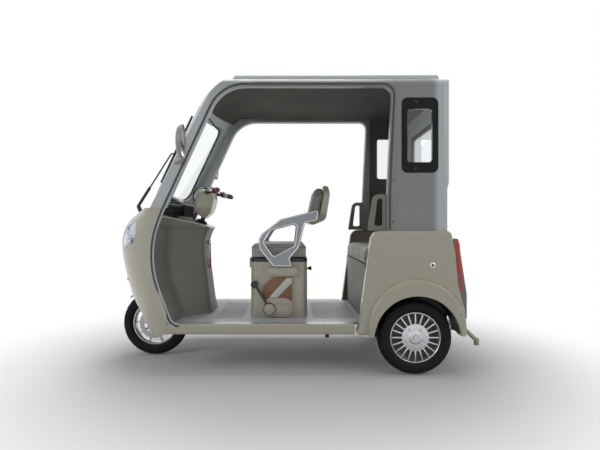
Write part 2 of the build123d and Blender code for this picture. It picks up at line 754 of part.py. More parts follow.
def lid_hinge():
    """Pins on brackets at the box's front edge."""
    brackets = []
    for side in (-1, 1):
        pin = rod((HINGE_X, side * 150 - 26, HINGE_Z), (HINGE_X, side * 150 + 26, HINGE_Z), 3)
        for shift in (-20, 20):
            y_low = side * 150 + shift - 5
            pin += across([(HINGE_X - 6, HINGE_Z + 6), (HINGE_X - 6, BOX_TOP - 39),
                           (BOX_FRONT + 2, BOX_TOP - 49), (BOX_FRONT + 2, BOX_TOP - 4),
                           (BOX_FRONT - 3, BOX_TOP - 4), (BOX_FRONT - 3, HINGE_Z),
                           (HINGE_X + 2, HINGE_Z + 6)], 0, y_low, y_low + 10)
        brackets.append(pin)
    return brackets


def seat_cushion():
    outline = [(BOX_FRONT - 6, LID_TOP + SEAT), (BOX_REAR + 4, LID_TOP + SEAT),
               (BOX_REAR + 4, CUSHION_TOP), (BOX_FRONT - 6, CUSHION_TOP)]
    pad = across(outline, [10, 10, 26, 26], -BOX_HALF, BOX_HALF)
    return pad & along([(-BOX_HALF, LID_TOP), (BOX_HALF, LID_TOP), (BOX_HALF, CUSHION_TOP),
                        (-BOX_HALF, CUSHION_TOP)],
                       [10, 10, 26, 26], -400, 200)


ARM_OUTER = [
    # x, z, radius
    (144.0, 962.0, 16),
    (-95.0, 902.0, 60),
    (-226.0, 800.0, 60),
    (-226.0, 722.0, 50),
    (-140.0, 612.0, 20),
    (-22.0, 612.0, 10),
    (-38.0, 660.0, 20),
    (20.0, 730.0, 60),
    (56.0, 880.0, 14),
    (130.0, 893.0, 14),
]
ARM_INNER = [
    (6.0, 876.0, 18),
    (-151.0, 833.0, 30),
    (-197.0, 759.0, 24),
    (-136.0, 674.0, 20),
    (-8.0, 742.0, 24),
]
ARM_LOW = BOX_HALF + 7
ARM_HIGH = ARM_LOW + 30


def armrest():
    outer = across([row[:2] for row in ARM_OUTER], [row[2] for row in ARM_OUTER], -ARM_HIGH, -ARM_LOW)
    inner = across([row[:2] for row in ARM_INNER], [row[2] for row in ARM_INNER], -ARM_HIGH - 5,
                   -ARM_LOW + 5)
    boss = rod((-80, -ARM_LOW - 1, 625), (-80, -BOX_HALF - SEAT, 625), 12)
    return outer - inner + boss


def seat_back_shell():
    side = [(75, 880), (112, 868), (188, 900), (213, 1060), (205, 1112), (170, 1118), (176, 1060),
            (150, 930)]
    wide = BOX_HALF - 17
    low, high = wide - 45, wide - 60
    shell = across(side, [6, 20, 40, 40, 14, 10, 30, 40], -wide, wide)
    shell &= along([(-wide, 940), (-low, 860), (low, 860), (wide, 940), (wide, 1060), (high, 1125),
                    (-high, 1125), (-wide, 1060)],
                   [50, 40, 40, 50, 60, 60, 60, 60], 0, 300)
    for side_way in (-1, 1):
        shell += rod((128, side_way * (BOX_HALF - 43.5), 910), (128, side_way * (ARM_LOW - SEAT), 910), 10)
    return shell


def seat_back_pad():
    side = [(66, 884), (148.7, 932), (175.7, 1060), (168.7, 1108), (126, 1114), (110, 1040), (92, 960)]
    wide = BOX_HALF - 29
    low, high = wide - 43, wide - 58
    pad = across(side, [8, 36, 28, 12, 18, 60, 60], -wide, wide)
    return pad & along([(-wide, 950), (-low, 874), (low, 874), (wide, 950), (wide, 1050), (high, 1116),
                        (-high, 1116), (-wide, 1050)],
                       [45, 36, 36, 45, 55, 55, 55, 55], 0, 300)


def side_pads():
    """Bracket plates on the box's left side."""
    face_y = -BOX_HALF - SEAT
    upper = across([(-180, 551), (14, 551), (14, 608), (-180, 608)], 28, face_y - 24, face_y)
    lower = across([(-208, 305), (-21, 305), (-21, 418), (-208, 418)], 54, face_y - 22, face_y)
    panel = across([(-205, 420), (-25, 420), (-25, 544), (-205, 544)], [4, 4, 4, 90], face_y - 10, face_y)
    return Compound([upper, lower, panel])


def parking_lever():
    face_y = -BOX_HALF - SEAT - 22 - SEAT
    boss = rod((-162, face_y - 16, 351), (-162, face_y, 351), 38)
    arm = rod((-170, face_y - 9, 370), (-250, face_y - 9, 500), 7)
    knob = rod((-254, face_y - 20, 502), (-254, face_y + 6, 502), 22)
    return boss + arm + knob


# Steering

AXLE_HEIGHT = -751.3
CALIPER_TURN = 118.0
FORK_HALF = 62.0
FORK_AHEAD = 30.8


def fork():
    """Two legs, crown, stem and the front axle."""
    crown_height = AXLE_HEIGHT + 262
    crown = extrude(steer_plane(crown_height) * (Pos(0, 0) * RectangleRounded(2 * FORK_HALF + 44, 56, 16)),
                    amount=24)
    crown = Pos(-FORK_AHEAD / 2 * cos(radians(STEER_RAKE)), 0,
                FORK_AHEAD / 2 * sin(radians(STEER_RAKE))) * crown
    part = crown + extrude(steer_plane(crown_height) * Circle(STEM_RADIUS), amount=170 - crown_height)
    for side in (-1, 1):
        foot = steer_point(AXLE_HEIGHT - 8, FORK_AHEAD, side * FORK_HALF)
        middle = steer_point(AXLE_HEIGHT + 130, FORK_AHEAD, side * FORK_HALF)
        head = steer_point(crown_height + 30, FORK_AHEAD, side * FORK_HALF)
        part += rod(foot, middle, 17)
        part += rod(middle, head, 13)
    axle = rod((FRONT_AXLE_X, -FORK_HALF - 24, AXLE_Z), (FRONT_AXLE_X, FORK_HALF + 24, AXLE_Z),
               FRONT_SPINDLE)
    carrier = across([(-14, -18), (14, -18), (14, 104), (-14, 104)], [12, 12, 6, 6], -64, -56 - SEAT)
    return part + axle + Pos(FRONT_AXLE_X, 0, AXLE_Z) * (Rot(0, CALIPER_TURN, 0) * carrier)


def front_mudguard():
    outer = rod((FRONT_AXLE_X, -56, AXLE_Z), (FRONT_AXLE_X, 56, AXLE_Z), TYRE_RADIUS + 20)
    inner = rod((FRONT_AXLE_X, -57, AXLE_Z), (FRONT_AXLE_X, 57, AXLE_Z), TYRE_RADIUS + 17)
    keep = across([(FRONT_AXLE_X, AXLE_Z), (FRONT_AXLE_X - 190, AXLE_Z + 200),
                   (FRONT_AXLE_X - 60, AXLE_Z + 400),
                   (FRONT_AXLE_X + 330, AXLE_Z + 300), (FRONT_AXLE_X + 330, AXLE_Z + 60)], 0, -60, 60)
    band = (outer - inner) & keep
    for side in (-1, 1):
        low = steer_point(AXLE_HEIGHT + 180, FORK_AHEAD, side * FORK_HALF)
        high = steer_point(AXLE_HEIGHT + 300, FORK_AHEAD, side * FORK_HALF)
        band -= rod(low, high, 13 + SEAT)
    return band


BAR_Z = 1084.0
BAR_X = -582.0
BAR_RADIUS = 11.0
BAR_POINTS = [
    (BAR_X, 0.0, BAR_Z),
    (BAR_X, 104.0, BAR_Z),
    (-512.0, 205.0, BAR_Z),
    (-476.0, 335.0, BAR_Z - 6),
]


def bar_half(side):
    part = None
    for start, end in zip(BAR_POINTS, BAR_POINTS[1:]):
        piece = rod((start[0], side * start[1], start[2]), (end[0], side * end[1], end[2]), BAR_RADIUS)
        knuckle = Pos(start[0], side * start[1], start[2]) * Sphere(BAR_RADIUS)
        part = piece if part is None else part + piece + knuckle
    return part


def handlebar():
    bar = bar_half(1) + bar_half(-1)
    clamp = slab(BAR_X - 16, BAR_X + 20, -24, 24, BAR_Z - 40, BAR_Z + 13)
    return (bar + clamp) - extrude(steer_plane(100) * Circle(STEM_RADIUS + 0.05), amount=90)


def grips():
    parts = []
    for side in (-1, 1):
        start, end = Vector(*BAR_POINTS[2]), Vector(*BAR_POINTS[3])
        way = (end - start).normalized()
        first, last = start + way * 14, end + way * 5
        first, last = (first.X, side * first.Y, first.Z), (last.X, side * last.Y, last.Z)
        parts.append(rod(first, last, 16) - rod(first, (end.X, side * end.Y, end.Z), BAR_RADIUS + 0.1))
    return Compound(parts)


def head_cover():
    side = [(-610, 906), (-672, 960), (-676, 1050), (-640, 1122), (-556, 1118), (-537, 1040), (-560, 950)]
    front = [(-50, 904), (-88, 990), (-96, 1084), (-60, 1126), (60, 1126), (96, 1084), (88, 990), (50, 904)]
    outer = across(side, [20, 40, 60, 34, 26, 30, 40], -100, 100)
    outer &= along(front, [30, 60, 30, 34, 34, 30, 60, 30], -700, -500)
    outer &= upright([(-680, -100), (-530, -100), (-530, 100), (-680, 100)], [56, 40, 40, 56], 900, 1130)
    inner = across([(-611, 916), (-664, 966), (-668, 1048), (-636, 1114), (-561, 1110), (-545, 1040),
                    (-566, 956)],
                   [14, 34, 52, 28, 20, 24, 34], -92, 92)
    inner &= along([(y * 0.92, 916 + (z - 904) * 0.905) for y, z in front],
                   [24, 54, 24, 28, 28, 24, 54, 24], -690, -510)
    inner &= upright([(-672, -92), (-538, -92), (-538, 92), (-672, 92)], [48, 32, 32, 48], 905, 1125)
    shell = outer - inner
    shell -= extrude(steer_plane(-20) * Circle(STEM_RADIUS + 4), amount=120)
    return shell - rod((BAR_X, -104, BAR_Z), (BAR_X, 104, BAR_Z), BAR_RADIUS + SEAT)


# Wheels

def tyre(width, y_middle, x):
    """Rounded tread, bulging side walls and bead seats."""
    half = width / 2
    points = [
        # radius, y
        (RIM_RADIUS + 0.2, -half + 12),
        (RIM_RADIUS + 16, -half + 3),
        (TYRE_RADIUS - 38, -half),
        (TYRE_RADIUS - 14, -half + 7),
        (TYRE_RADIUS - 3, -half + 20),
        (TYRE_RADIUS, -half + 36),
        (TYRE_RADIUS, half - 36),
        (TYRE_RADIUS - 3, half - 20),
        (TYRE_RADIUS - 14, half - 7),
        (TYRE_RADIUS - 38, half),
        (RIM_RADIUS + 16, half - 3),
        (RIM_RADIUS + 0.2, half - 12),
    ]
    return turned([(r, y + y_middle) for r, y in points], x, AXLE_Z)


def rim(width, y_middle, x, face_y, hub_low, hub_high, hub_radius, bore, spokes):
    """Barrel, spoked face and hub of a wheel."""
    half = width / 2 - 13
    barrel = turned([(RIM_RADIUS, -half + y_middle), (RIM_RADIUS, half + y_middle),
                     (RIM_RADIUS - 8, half + y_middle),
                     (RIM_RADIUS - 14, half - 12 + y_middle), (RIM_RADIUS - 14, -half + 12 + y_middle),
                     (RIM_RADIUS - 8, -half + y_middle)], x, AXLE_Z)
    body = barrel + rod((x, hub_low, AXLE_Z), (x, hub_high, AXLE_Z), hub_radius)
    for index in range(spokes):
        angle = 360 / spokes * index
        spoke = slab(hub_radius - 4, RIM_RADIUS - 10, face_y - 5, face_y + 5, -4.5, 4.5)
        body += Pos(x, 0, AXLE_Z) * (Rot(0, angle, 0) * spoke)
    return body - rod((x, hub_low - 1, AXLE_Z), (x, hub_high + 1, AXLE_Z), bore)


FRONT_HUB = 44.0


def front_rim():
    return rim(FRONT_TYRE_WIDTH, 0, FRONT_AXLE_X, -8, -FRONT_HUB + 6, FRONT_HUB - 6, 34,
               FRONT_SPINDLE + RUNNING, 10)


def brake_disc():
    ring = turned([(70, -43), (100, -43), (100, -39), (70, -39)], FRONT_AXLE_X, AXLE_Z)
    hub = turned([(FRONT_SPINDLE + RUNNING, -43), (40, -43), (40, -38 - SEAT),
                  (FRONT_SPINDLE + RUNNING, -38 - SEAT)], FRONT_AXLE_X, AXLE_Z)
    body = ring + hub
    for index in range(6):
        arm = slab(36, 74, -43, -39, -7, 7)
        body += Pos(FRONT_AXLE_X, 0, AXLE_Z) * (Rot(0, 60 * index, 0) * arm)
    return body


def caliper():
    block = across([(-34, 62), (34, 62), (34, 112), (-34, 112)], [8, 8, 16, 16], -56, -30)
    slot = slab(-60, 60, -44, -38, 0, 104)
    turned_block = Rot(0, CALIPER_TURN, 0) * (block - slot)
    return Pos(FRONT_AXLE_X, 0, AXLE_Z) * turned_block


REAR_MIDDLE = -REAR_TYRE_OUTER + REAR_TYRE_WIDTH / 2
REAR_HUB_IN = REAR_MIDDLE + 84
REAR_HUB_OUT = REAR_MIDDLE - 44


def rear_rim():
    """Left rear wheel: spoked face near the tyre's outer side, hub with its nut."""
    body = rim(REAR_TYRE_WIDTH, REAR_MIDDLE, REAR_AXLE_X, REAR_MIDDLE - 34, REAR_HUB_OUT + 8, REAR_HUB_IN,
               62, REAR_SPINDLE + RUNNING, 20)
    cap = turned([(0, REAR_HUB_OUT + 8), (80, REAR_HUB_OUT + 8), (80, REAR_HUB_OUT + 2),
                  (26, REAR_HUB_OUT - 2), (18, REAR_HUB_OUT - 2), (18, REAR_HUB_OUT - 14),
                  (0, REAR_HUB_OUT - 14)], REAR_AXLE_X, AXLE_Z)
    return body + cap


def rear_axle():
    """Axle tube, stub axles and brake back plates."""
    tube = rod((REAR_AXLE_X, REAR_HUB_IN + 12, AXLE_Z), (REAR_AXLE_X, -REAR_HUB_IN - 12, AXLE_Z), 30)
    stubs = rod((REAR_AXLE_X, REAR_HUB_OUT + 14, AXLE_Z), (REAR_AXLE_X, -REAR_HUB_OUT - 14, AXLE_Z),
                REAR_SPINDLE)
    axle = tube + stubs
    for side in (-1, 1):
        axle += rod((REAR_AXLE_X, -side * (REAR_HUB_IN + 16), AXLE_Z),
                    (REAR_AXLE_X, -side * (REAR_HUB_IN + 4), AXLE_Z), 92)
        axle += slab(REAR_AXLE_X - 22, REAR_AXLE_X + 22, side * SPRING_Y - 28, side * SPRING_Y + 28,
                     AXLE_Z - 8, AXLE_Z + 36)
    return axle - rod((REAR_AXLE_X, -MOTOR_HALF, AXLE_Z), (REAR_AXLE_X, MOTOR_HALF, AXLE_Z), 40)


MOTOR_HALF = 110.0


def drive_motor():
    return rod((REAR_AXLE_X, -MOTOR_HALF + SEAT, AXLE_Z), (REAR_AXLE_X, MOTOR_HALF - SEAT, AXLE_Z), 88)


def leaf_spring():
    """Spring pack from the frame's front hanger to its rear one, over nothing but the axle saddle."""
    y = -SPRING_Y - SPRING_HALF
    front, rear = REAR_AXLE_X - SPRING_REACH - 10, REAR_AXLE_X + SPRING_REACH + 10
    low = AXLE_Z + 36 + SEAT
    band = make_face([
        ThreePointArc((front, y, SPRING_EYE_Z - 9), (REAR_AXLE_X, y, low), (rear, y, SPRING_EYE_Z - 9)),
        Line((rear, y, SPRING_EYE_Z - 9), (rear, y, SPRING_EYE_Z)),
        ThreePointArc((rear, y, SPRING_EYE_Z), (REAR_AXLE_X, y, low + 26), (front, y, SPRING_EYE_Z)),
        Line((front, y, SPRING_EYE_Z), (front, y, SPRING_EYE_Z - 9)),
    ])
    return extrude(band, amount=2 * SPRING_HALF, dir=(0, 1, 0))


STAY_RADIUS = 13.5
STAY_FOOT = 16.0
STAY_END_X = -FRONT_AXLE_X + TYRE_RADIUS


def anti_tip_stay():
    """Tube under the frame rail, bent down behind the body."""
    run_z = KICK_Z - SEAT - STAY_RADIUS
    foot_x = STAY_END_X - STAY_FOOT
    path = FilletPolyline((780, -RAIL_Y, run_z), (925, -RAIL_Y, run_z), (foot_x, -RAIL_Y, 140), radius=60)
    tube = sweep(Plane(origin=(780, -RAIL_Y, run_z), z_dir=(1, 0, 0)) * Circle(STAY_RADIUS), path=path)
    return tube + rod((foot_x, -RAIL_Y, 112), (foot_x, -RAIL_Y, 156), STAY_FOOT)


# Mirrors and wiper

MIRROR_X = -622.0
MIRROR_Y = -585.0
MIRROR_Z = 1327.0
MIRROR_TALL = 93.0
MIRROR_WIDE = 62.0
MIRROR_DEEP = 36.0


def mirror_oval(tall, wide, x):
    """Upright oval facing rearwards."""
    return Plane(origin=(x, MIRROR_Y, MIRROR_Z), x_dir=(0, 0, 1), z_dir=(1, 0, 0)) * Ellipse(tall, wide)


def mirror_shell():
    """Oval housing open to the rear, on its arm from the pillar."""
    body = loft([mirror_oval(MIRROR_TALL * 0.62, MIRROR_WIDE * 0.56, MIRROR_X - MIRROR_DEEP),
                 mirror_oval(MIRROR_TALL * 0.93, MIRROR_WIDE * 0.91, MIRROR_X - MIRROR_DEEP * 0.6),
                 mirror_oval(MIRROR_TALL, MIRROR_WIDE, MIRROR_X)])
    body -= extrude(mirror_oval(MIRROR_TALL - 4, MIRROR_WIDE - 4, MIRROR_X - 9), amount=20)
    knuckle = (MIRROR_X - 20, -520, 1236)
    arm = rod((MIRROR_X - 20, -556, 1262), knuckle, 8) + Pos(*knuckle) * Sphere(10)
    foot = rod(knuckle, (-700, -HALF_BODY + 10, 1222), 10) - OUTER_PILLAR
    return body + arm + foot


def mirror_glass():
    return extrude(mirror_oval(MIRROR_TALL - 5, MIRROR_WIDE - 5, MIRROR_X - 9 + SEAT), amount=4)


WIPER_Y = -130.0


def wiper():
    """Spindle on the cowl, bent arm and blade ahead of the screen."""
    knee = (-1020, WIPER_Y, 992)
    base = rod((-995, WIPER_Y, 930), knee, 13) - nose_volume(-SEAT)
    arm = rod(knee, (-806, WIPER_Y, 1330), 5)
    blade = rod((-872, WIPER_Y, 1142), (-686, WIPER_Y, 1540), 4.5)
    link = rod((-806, WIPER_Y, 1330), (-784, WIPER_Y, 1331), 5)
    return base + arm + blade + link


save("floor_pan", floor_pan())
save("side_sills", pair(side_sill()))
save("chassis_frame", chassis_frame())
save("front_cowl", front_cowl())
save("leg_shield", leg_shield())
save("dash_top", dash_top())
save("column_boot", column_boot())
save("instrument_panel", instrument_panel())
save("windscreen_frame", screen_frame())
save("windscreen_glass", screen_glass())
save("side_frames", pair(side_frame()))
save("roof_shell", roof_shell())
save("headliner", headliner())
save("rear_cab_sides", pair(cab_side()))
save("rear_cab_back", cab_back())
save("window_frames", Compound([side_window_frame(), mirrored(side_window_frame()), back_window_frame()]))
save("window_glass", Compound([side_window_glass(), mirrored(side_window_glass()), back_window_glass()]))
save("quarter_panels", pair(quarter_panel() - cab_clear()))
save("wheel_liners", pair(wheel_liner()))
save("rear_panel", rear_panel())
save("tail_lamps", pair(tail_lamp()))
save("tail_lamp_trims", pair(tail_trim()))
save("head_lamp_rims", pair(lamp_rim() + lamp_bowl()))
save("head_lamp_lenses", pair(lamp_lens()))
save("grab_frames", pair(grab_frame()))
save("bench_base", bench_base())
save("bench_cushion", bench_cushion())
save("bench_back", bench_back())
save("seat_box", seat_box())
save("battery_pack", battery_pack())
save("seat_lid", seat_lid())
save("seat_cushion", seat_cushion())
save("armrests", pair(armrest()))
save("seat_back_shell", seat_back_shell())
save("seat_back_pad", seat_back_pad())
save("seat_side_pads", side_pads())
save("parking_lever", parking_lever())
save("fork", fork())
save("front_mudguard", front_mudguard())
save("handlebar", handlebar())
save("grips", grips())
save("head_cover", head_cover())
save("brake_caliper", caliper())
save("front_tyre", tyre(FRONT_TYRE_WIDTH, 0, FRONT_AXLE_X))
save("front_rim", front_rim())
save("brake_disc", brake_disc())
LEFT_TYRE = tyre(REAR_TYRE_WIDTH, REAR_MIDDLE, REAR_AXLE_X)
save("rear_tyre_left", LEFT_TYRE)
save("rear_tyre_right", mirrored(LEFT_TYRE))
LEFT_RIM = rear_rim()
save("rear_rim_left", LEFT_RIM)
save("rear_rim_right", mirrored(LEFT_RIM))
save("rear_axle", rear_axle())
save("drive_motor", drive_motor())
save("leaf_springs", pair(leaf_spring()))
save("anti_tip_stays", pair(anti_tip_stay()))
save("mirror_shells", pair(mirror_shell()))
save("mirror_glasses", pair(mirror_glass()))
save("wiper", wiper())
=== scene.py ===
# %% [markdown]
# # A cabin three-wheeler, dressed over its CAD frame
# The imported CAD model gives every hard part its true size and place. This notebook loads it,
# then gives it paint, rubber, leather and glass, and models the parts that need a softer or finer
# form than CAD gives: stuffed cushions, tyres with tread, wheels, lamps, seals and controls.

# %% Load the frame
import bpy
from math import atan2, cos, hypot, pi, radians, sin
from mathutils import Matrix, Vector


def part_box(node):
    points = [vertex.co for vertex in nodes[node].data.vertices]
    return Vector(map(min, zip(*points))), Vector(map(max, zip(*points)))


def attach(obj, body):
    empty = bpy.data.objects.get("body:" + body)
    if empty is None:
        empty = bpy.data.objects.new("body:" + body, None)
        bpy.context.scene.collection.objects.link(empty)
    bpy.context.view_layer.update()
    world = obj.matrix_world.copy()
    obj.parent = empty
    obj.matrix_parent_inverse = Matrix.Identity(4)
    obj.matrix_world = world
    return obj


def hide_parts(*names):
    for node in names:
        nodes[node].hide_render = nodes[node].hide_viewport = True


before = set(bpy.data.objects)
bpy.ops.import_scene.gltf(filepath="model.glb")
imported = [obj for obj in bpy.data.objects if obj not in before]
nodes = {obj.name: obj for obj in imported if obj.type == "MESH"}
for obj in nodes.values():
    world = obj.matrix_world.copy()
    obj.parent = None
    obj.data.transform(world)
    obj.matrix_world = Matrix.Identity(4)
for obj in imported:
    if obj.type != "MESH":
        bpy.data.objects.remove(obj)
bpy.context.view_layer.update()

# %% [markdown]
# The photograph was taken square to the vehicle's left side, a little over three metres away and
# at seat height. A 27.7 mm lens gives the same perspective, so near and far sides line up.

# %% Camera
camera_data = bpy.data.cameras.new("side_camera")
camera_data.lens = 27.7
camera_data.shift_x = 0.015
camera_data.shift_y = 0.0033
camera = bpy.data.objects.new("side_camera", camera_data)
bpy.context.scene.collection.objects.link(camera)
camera.location = (-0.030, -3.125, 0.855)
camera.rotation_euler = (radians(90), 0, 0)
bpy.context.scene.camera = camera
bpy.context.scene.view_settings.view_transform = "Standard"

# %% [markdown]
# A studio sweep reads as plain white. Rather than pour light on the object, the floor and the
# world show white only to the camera, to reflections and through glass, and light the object
# at a plain level. The floor keeps a soft shadow, because part of it is an ordinary surface.

# %% White surroundings
def seen_directly(tree):
    """A mask that is 1 for camera, mirror and glass rays."""
    path = tree.nodes.new("ShaderNodeLightPath")
    first = tree.nodes.new("ShaderNodeMath")
    first.operation = "MAXIMUM"
    second = tree.nodes.new("ShaderNodeMath")
    second.operation = "MAXIMUM"
    tree.links.new(path.outputs["Is Camera Ray"], first.inputs[0])
    tree.links.new(path.outputs["Is Glossy Ray"], first.inputs[1])
    tree.links.new(first.outputs[0], second.inputs[0])
    tree.links.new(path.outputs["Is Transmission Ray"], second.inputs[1])
    return second.outputs[0]


world = bpy.data.worlds.new("studio")
bpy.context.scene.world = world
world.use_nodes = True
sky = world.node_tree
sky.nodes.clear()
soft_light = sky.nodes.new("ShaderNodeBackground")
soft_light.inputs["Color"].default_value = (0.95, 0.97, 1.0, 1)
soft_light.inputs["Strength"].default_value = 0.28
white_back = sky.nodes.new("ShaderNodeBackground")
white_back.inputs["Color"].default_value = (1, 1, 1, 1)
white_back.inputs["Strength"].default_value = 1.0
sky_mix = sky.nodes.new("ShaderNodeMixShader")
sky_out = sky.nodes.new("ShaderNodeOutputWorld")
sky.links.new(seen_directly(sky), sky_mix.inputs[0])
sky.links.new(soft_light.outputs[0], sky_mix.inputs[1])
sky.links.new(white_back.outputs[0], sky_mix.inputs[2])
sky.links.new(sky_mix.outputs[0], sky_out.inputs[0])

# %% Floor
bpy.ops.mesh.primitive_plane_add(size=40, location=(0, 0, -0.001))
floor = bpy.context.object
floor.name = "studio_floor"
floor_look = bpy.data.materials.new("studio_floor")
floor_look.use_nodes = True
tree = floor_look.node_tree
tree.nodes.clear()
matt = tree.nodes.new("ShaderNodeBsdfDiffuse")
matt.inputs["Color"].default_value = (0.72, 0.72, 0.72, 1)
glow = tree.nodes.new("ShaderNodeEmission")
glow.inputs["Strength"].default_value = 0.05
far = tree.nodes.new("ShaderNodeEmission")
by_distance = tree.nodes.new("ShaderNodeMixShader")
place = tree.nodes.new("ShaderNodeTexCoord")
reach = tree.nodes.new("ShaderNodeVectorMath")
reach.operation = "LENGTH"
fade = tree.nodes.new("ShaderNodeMapRange")
fade.interpolation_type = "SMOOTHSTEP"
fade.inputs["From Min"].default_value = 1.0
fade.inputs["From Max"].default_value = 2.3
tree.links.new(place.outputs["Object"], reach.inputs[0])
tree.links.new(reach.outputs["Value"], fade.inputs["Value"])
tree.links.new(fade.outputs[0], by_distance.inputs[0])
add = tree.nodes.new("ShaderNodeAddShader")
only_seen = tree.nodes.new("ShaderNodeMixShader")
out = tree.nodes.new("ShaderNodeOutputMaterial")
tree.links.new(matt.outputs[0], add.inputs[0])
tree.links.new(glow.outputs[0], add.inputs[1])
tree.links.new(seen_directly(tree), only_seen.inputs[0])
tree.links.new(matt.outputs[0], only_seen.inputs[1])
tree.links.new(add.outputs[0], by_distance.inputs[1])
tree.links.new(far.outputs[0], by_distance.inputs[2])
tree.links.new(by_distance.outputs[0], only_seen.inputs[2])
tree.links.new(only_seen.outputs[0], out.inputs[0])
floor.data.materials.append(floor_look)

# %% Studio lamps
LAMPS = [
    # name, place, size, power, aimed at
    ("overhead", (-0.2, 0.3, 4.4), 2.6, 88, (0.0, 0.0, 0.6)),
    ("front_side", (-3.8, -2.6, 2.6), 1.8, 34, (0.0, 0.0, 1.0)),
    ("rear_side", (3.6, -2.2, 2.6), 1.8, 22, (0.0, 0.0, 1.0)),
    ("far_side", (0.4, 4.2, 3.0), 2.4, 26, (0.0, 0.0, 1.0)),
]
for name, place, size, power, aim in LAMPS:
    data = bpy.data.lights.new(name, "AREA")
    data.shape = "DISK"
    data.size = size
    data.energy = power
    lamp = bpy.data.objects.new(name, data)
    bpy.context.scene.collection.objects.link(lamp)
    lamp.location = place
    lamp.rotation_euler = (Vector(aim) - Vector(place)).to_track_quat("-Z", "Y").to_euler()
print("lamps:", len(LAMPS))

# %% [markdown]
# ## Surface effects shared by many finishes
# Real moulded panels are never one flat colour: batches of paint mottle slightly, dust gathers
# low down, and every surface has a grain. Each effect is a small node group, made once, and
# placed in each material with its own numbers.

# %% Helper for shared effects
def effect_group(name, inputs, outputs):
    """An empty shader node group with its sockets."""
    group = bpy.data.node_groups.new(name, "ShaderNodeTree")
    for label, kind, value in inputs:
        socket = group.interface.new_socket(name=label, in_out="INPUT", socket_type=kind)
        if value is not None:
            socket.default_value = value
    for label, kind in outputs:
        group.interface.new_socket(name=label, in_out="OUTPUT", socket_type=kind)
    return group, group.nodes.new("NodeGroupInput"), group.nodes.new("NodeGroupOutput")


def linked_noise(tree, vector, scale, detail=3.0):
    noise = tree.nodes.new("ShaderNodeTexNoise")
    noise.inputs["Detail"].default_value = detail
    tree.links.new(vector, noise.inputs["Vector"])
    if isinstance(scale, (int, float)):
        noise.inputs["Scale"].default_value = scale
    else:
        tree.links.new(scale, noise.inputs["Scale"])
    return noise.outputs["Fac"]


def remap(tree, value, low, high, to_low=0.0, to_high=1.0):
    """Map Range from low..high to to_low..to_high."""
    node = tree.nodes.new("ShaderNodeMapRange")
    for index, number in ((1, low), (2, high), (3, to_low), (4, to_high)):
        node.inputs[index].default_value = number
    tree.links.new(value, node.inputs[0])
    return node.outputs[0]


def maths(tree, operation, first, second=None, third=None):
    """Math node fed with sockets or numbers."""
    node = tree.nodes.new("ShaderNodeMath")
    node.operation = operation
    for index, value in enumerate((first, second, third)):
        if value is None:
            continue
        if isinstance(value, (int, float)):
            node.inputs[index].default_value = value
        else:
            tree.links.new(value, node.inputs[index])
    return node.outputs[0]


# %% Mottle: slow variation over a hand's breadth
VECTOR_IN = ("Vector", "NodeSocketVector", None)
MASK_OUT = ("Mask", "NodeSocketFloat")
NORMAL_OUT = ("Normal", "NodeSocketVector")
MOTTLE, enter, leave = effect_group("paint_mottle", [VECTOR_IN, ("Scale", "NodeSocketFloat", 6.0)],
                                    [MASK_OUT])
noise = linked_noise(MOTTLE, enter.outputs[0], enter.outputs[1])
MOTTLE.links.new(remap(MOTTLE, noise, 0.22, 0.78), leave.inputs[0])

# %% Grain: the fine texture of a moulded or sprayed surface
GRAIN, enter, leave = effect_group(
    "surface_grain",
    [VECTOR_IN, ("Scale", "NodeSocketFloat", 900.0), ("Depth", "NodeSocketFloat", 0.1)],
    [NORMAL_OUT])
bump = GRAIN.nodes.new("ShaderNodeBump")
bump.inputs["Distance"].default_value = 0.001
GRAIN.links.new(linked_noise(GRAIN, enter.outputs[0], enter.outputs[1], 2.0), bump.inputs["Height"])
GRAIN.links.new(enter.outputs[2], bump.inputs["Strength"])
GRAIN.links.new(bump.outputs[0], leave.inputs[0])

# %% Dust: more of it near the road
DUST, enter, leave = effect_group("road_dust", [VECTOR_IN, ("Top", "NodeSocketFloat", 0.5)],
                                  [MASK_OUT])
split = DUST.nodes.new("ShaderNodeSeparateXYZ")
DUST.links.new(enter.outputs[0], split.inputs[0])
height = maths(DUST, "DIVIDE", split.outputs["Z"], enter.outputs[1])
low_down = maths(DUST, "SUBTRACT", 1.0, height)
low_down = maths(DUST, "MAXIMUM", low_down, 0.0)
patchy = remap(DUST, linked_noise(DUST, enter.outputs[0], 22.0, 5.0), 0.3, 0.7, 0.35, 1.0)
DUST.links.new(maths(DUST, "MULTIPLY", low_down, patchy), leave.inputs[0])

# %% Leather: pebbles with fine creases
LEATHER, enter, leave = effect_group(
    "leather_grain",
    [VECTOR_IN, ("Scale", "NodeSocketFloat", 260.0), ("Depth", "NodeSocketFloat", 0.35)],
    [("Creases", "NodeSocketFloat"), NORMAL_OUT])
cells = LEATHER.nodes.new("ShaderNodeTexVoronoi")
cells.feature = "DISTANCE_TO_EDGE"
LEATHER.links.new(enter.outputs[0], cells.inputs["Vector"])
LEATHER.links.new(enter.outputs[1], cells.inputs["Scale"])
pebble = remap(LEATHER, cells.outputs["Distance"], 0.0, 0.16)
bump = LEATHER.nodes.new("ShaderNodeBump")
bump.inputs["Distance"].default_value = 0.0012
LEATHER.links.new(enter.outputs[2], bump.inputs["Strength"])
LEATHER.links.new(pebble, bump.inputs["Height"])
LEATHER.links.new(pebble, leave.inputs[0])
LEATHER.links.new(bump.outputs[0], leave.inputs[1])


# %% [markdown]
# ## Finishes
# Each finish is its own material with a Principled shader: base colour varied by mottle and
# dust, roughness varied by the same mottle, and a normal from the grain. The numbers follow what
# the photograph shows: cream lower panels, a warm grey cab and a blue-grey embossed floor.

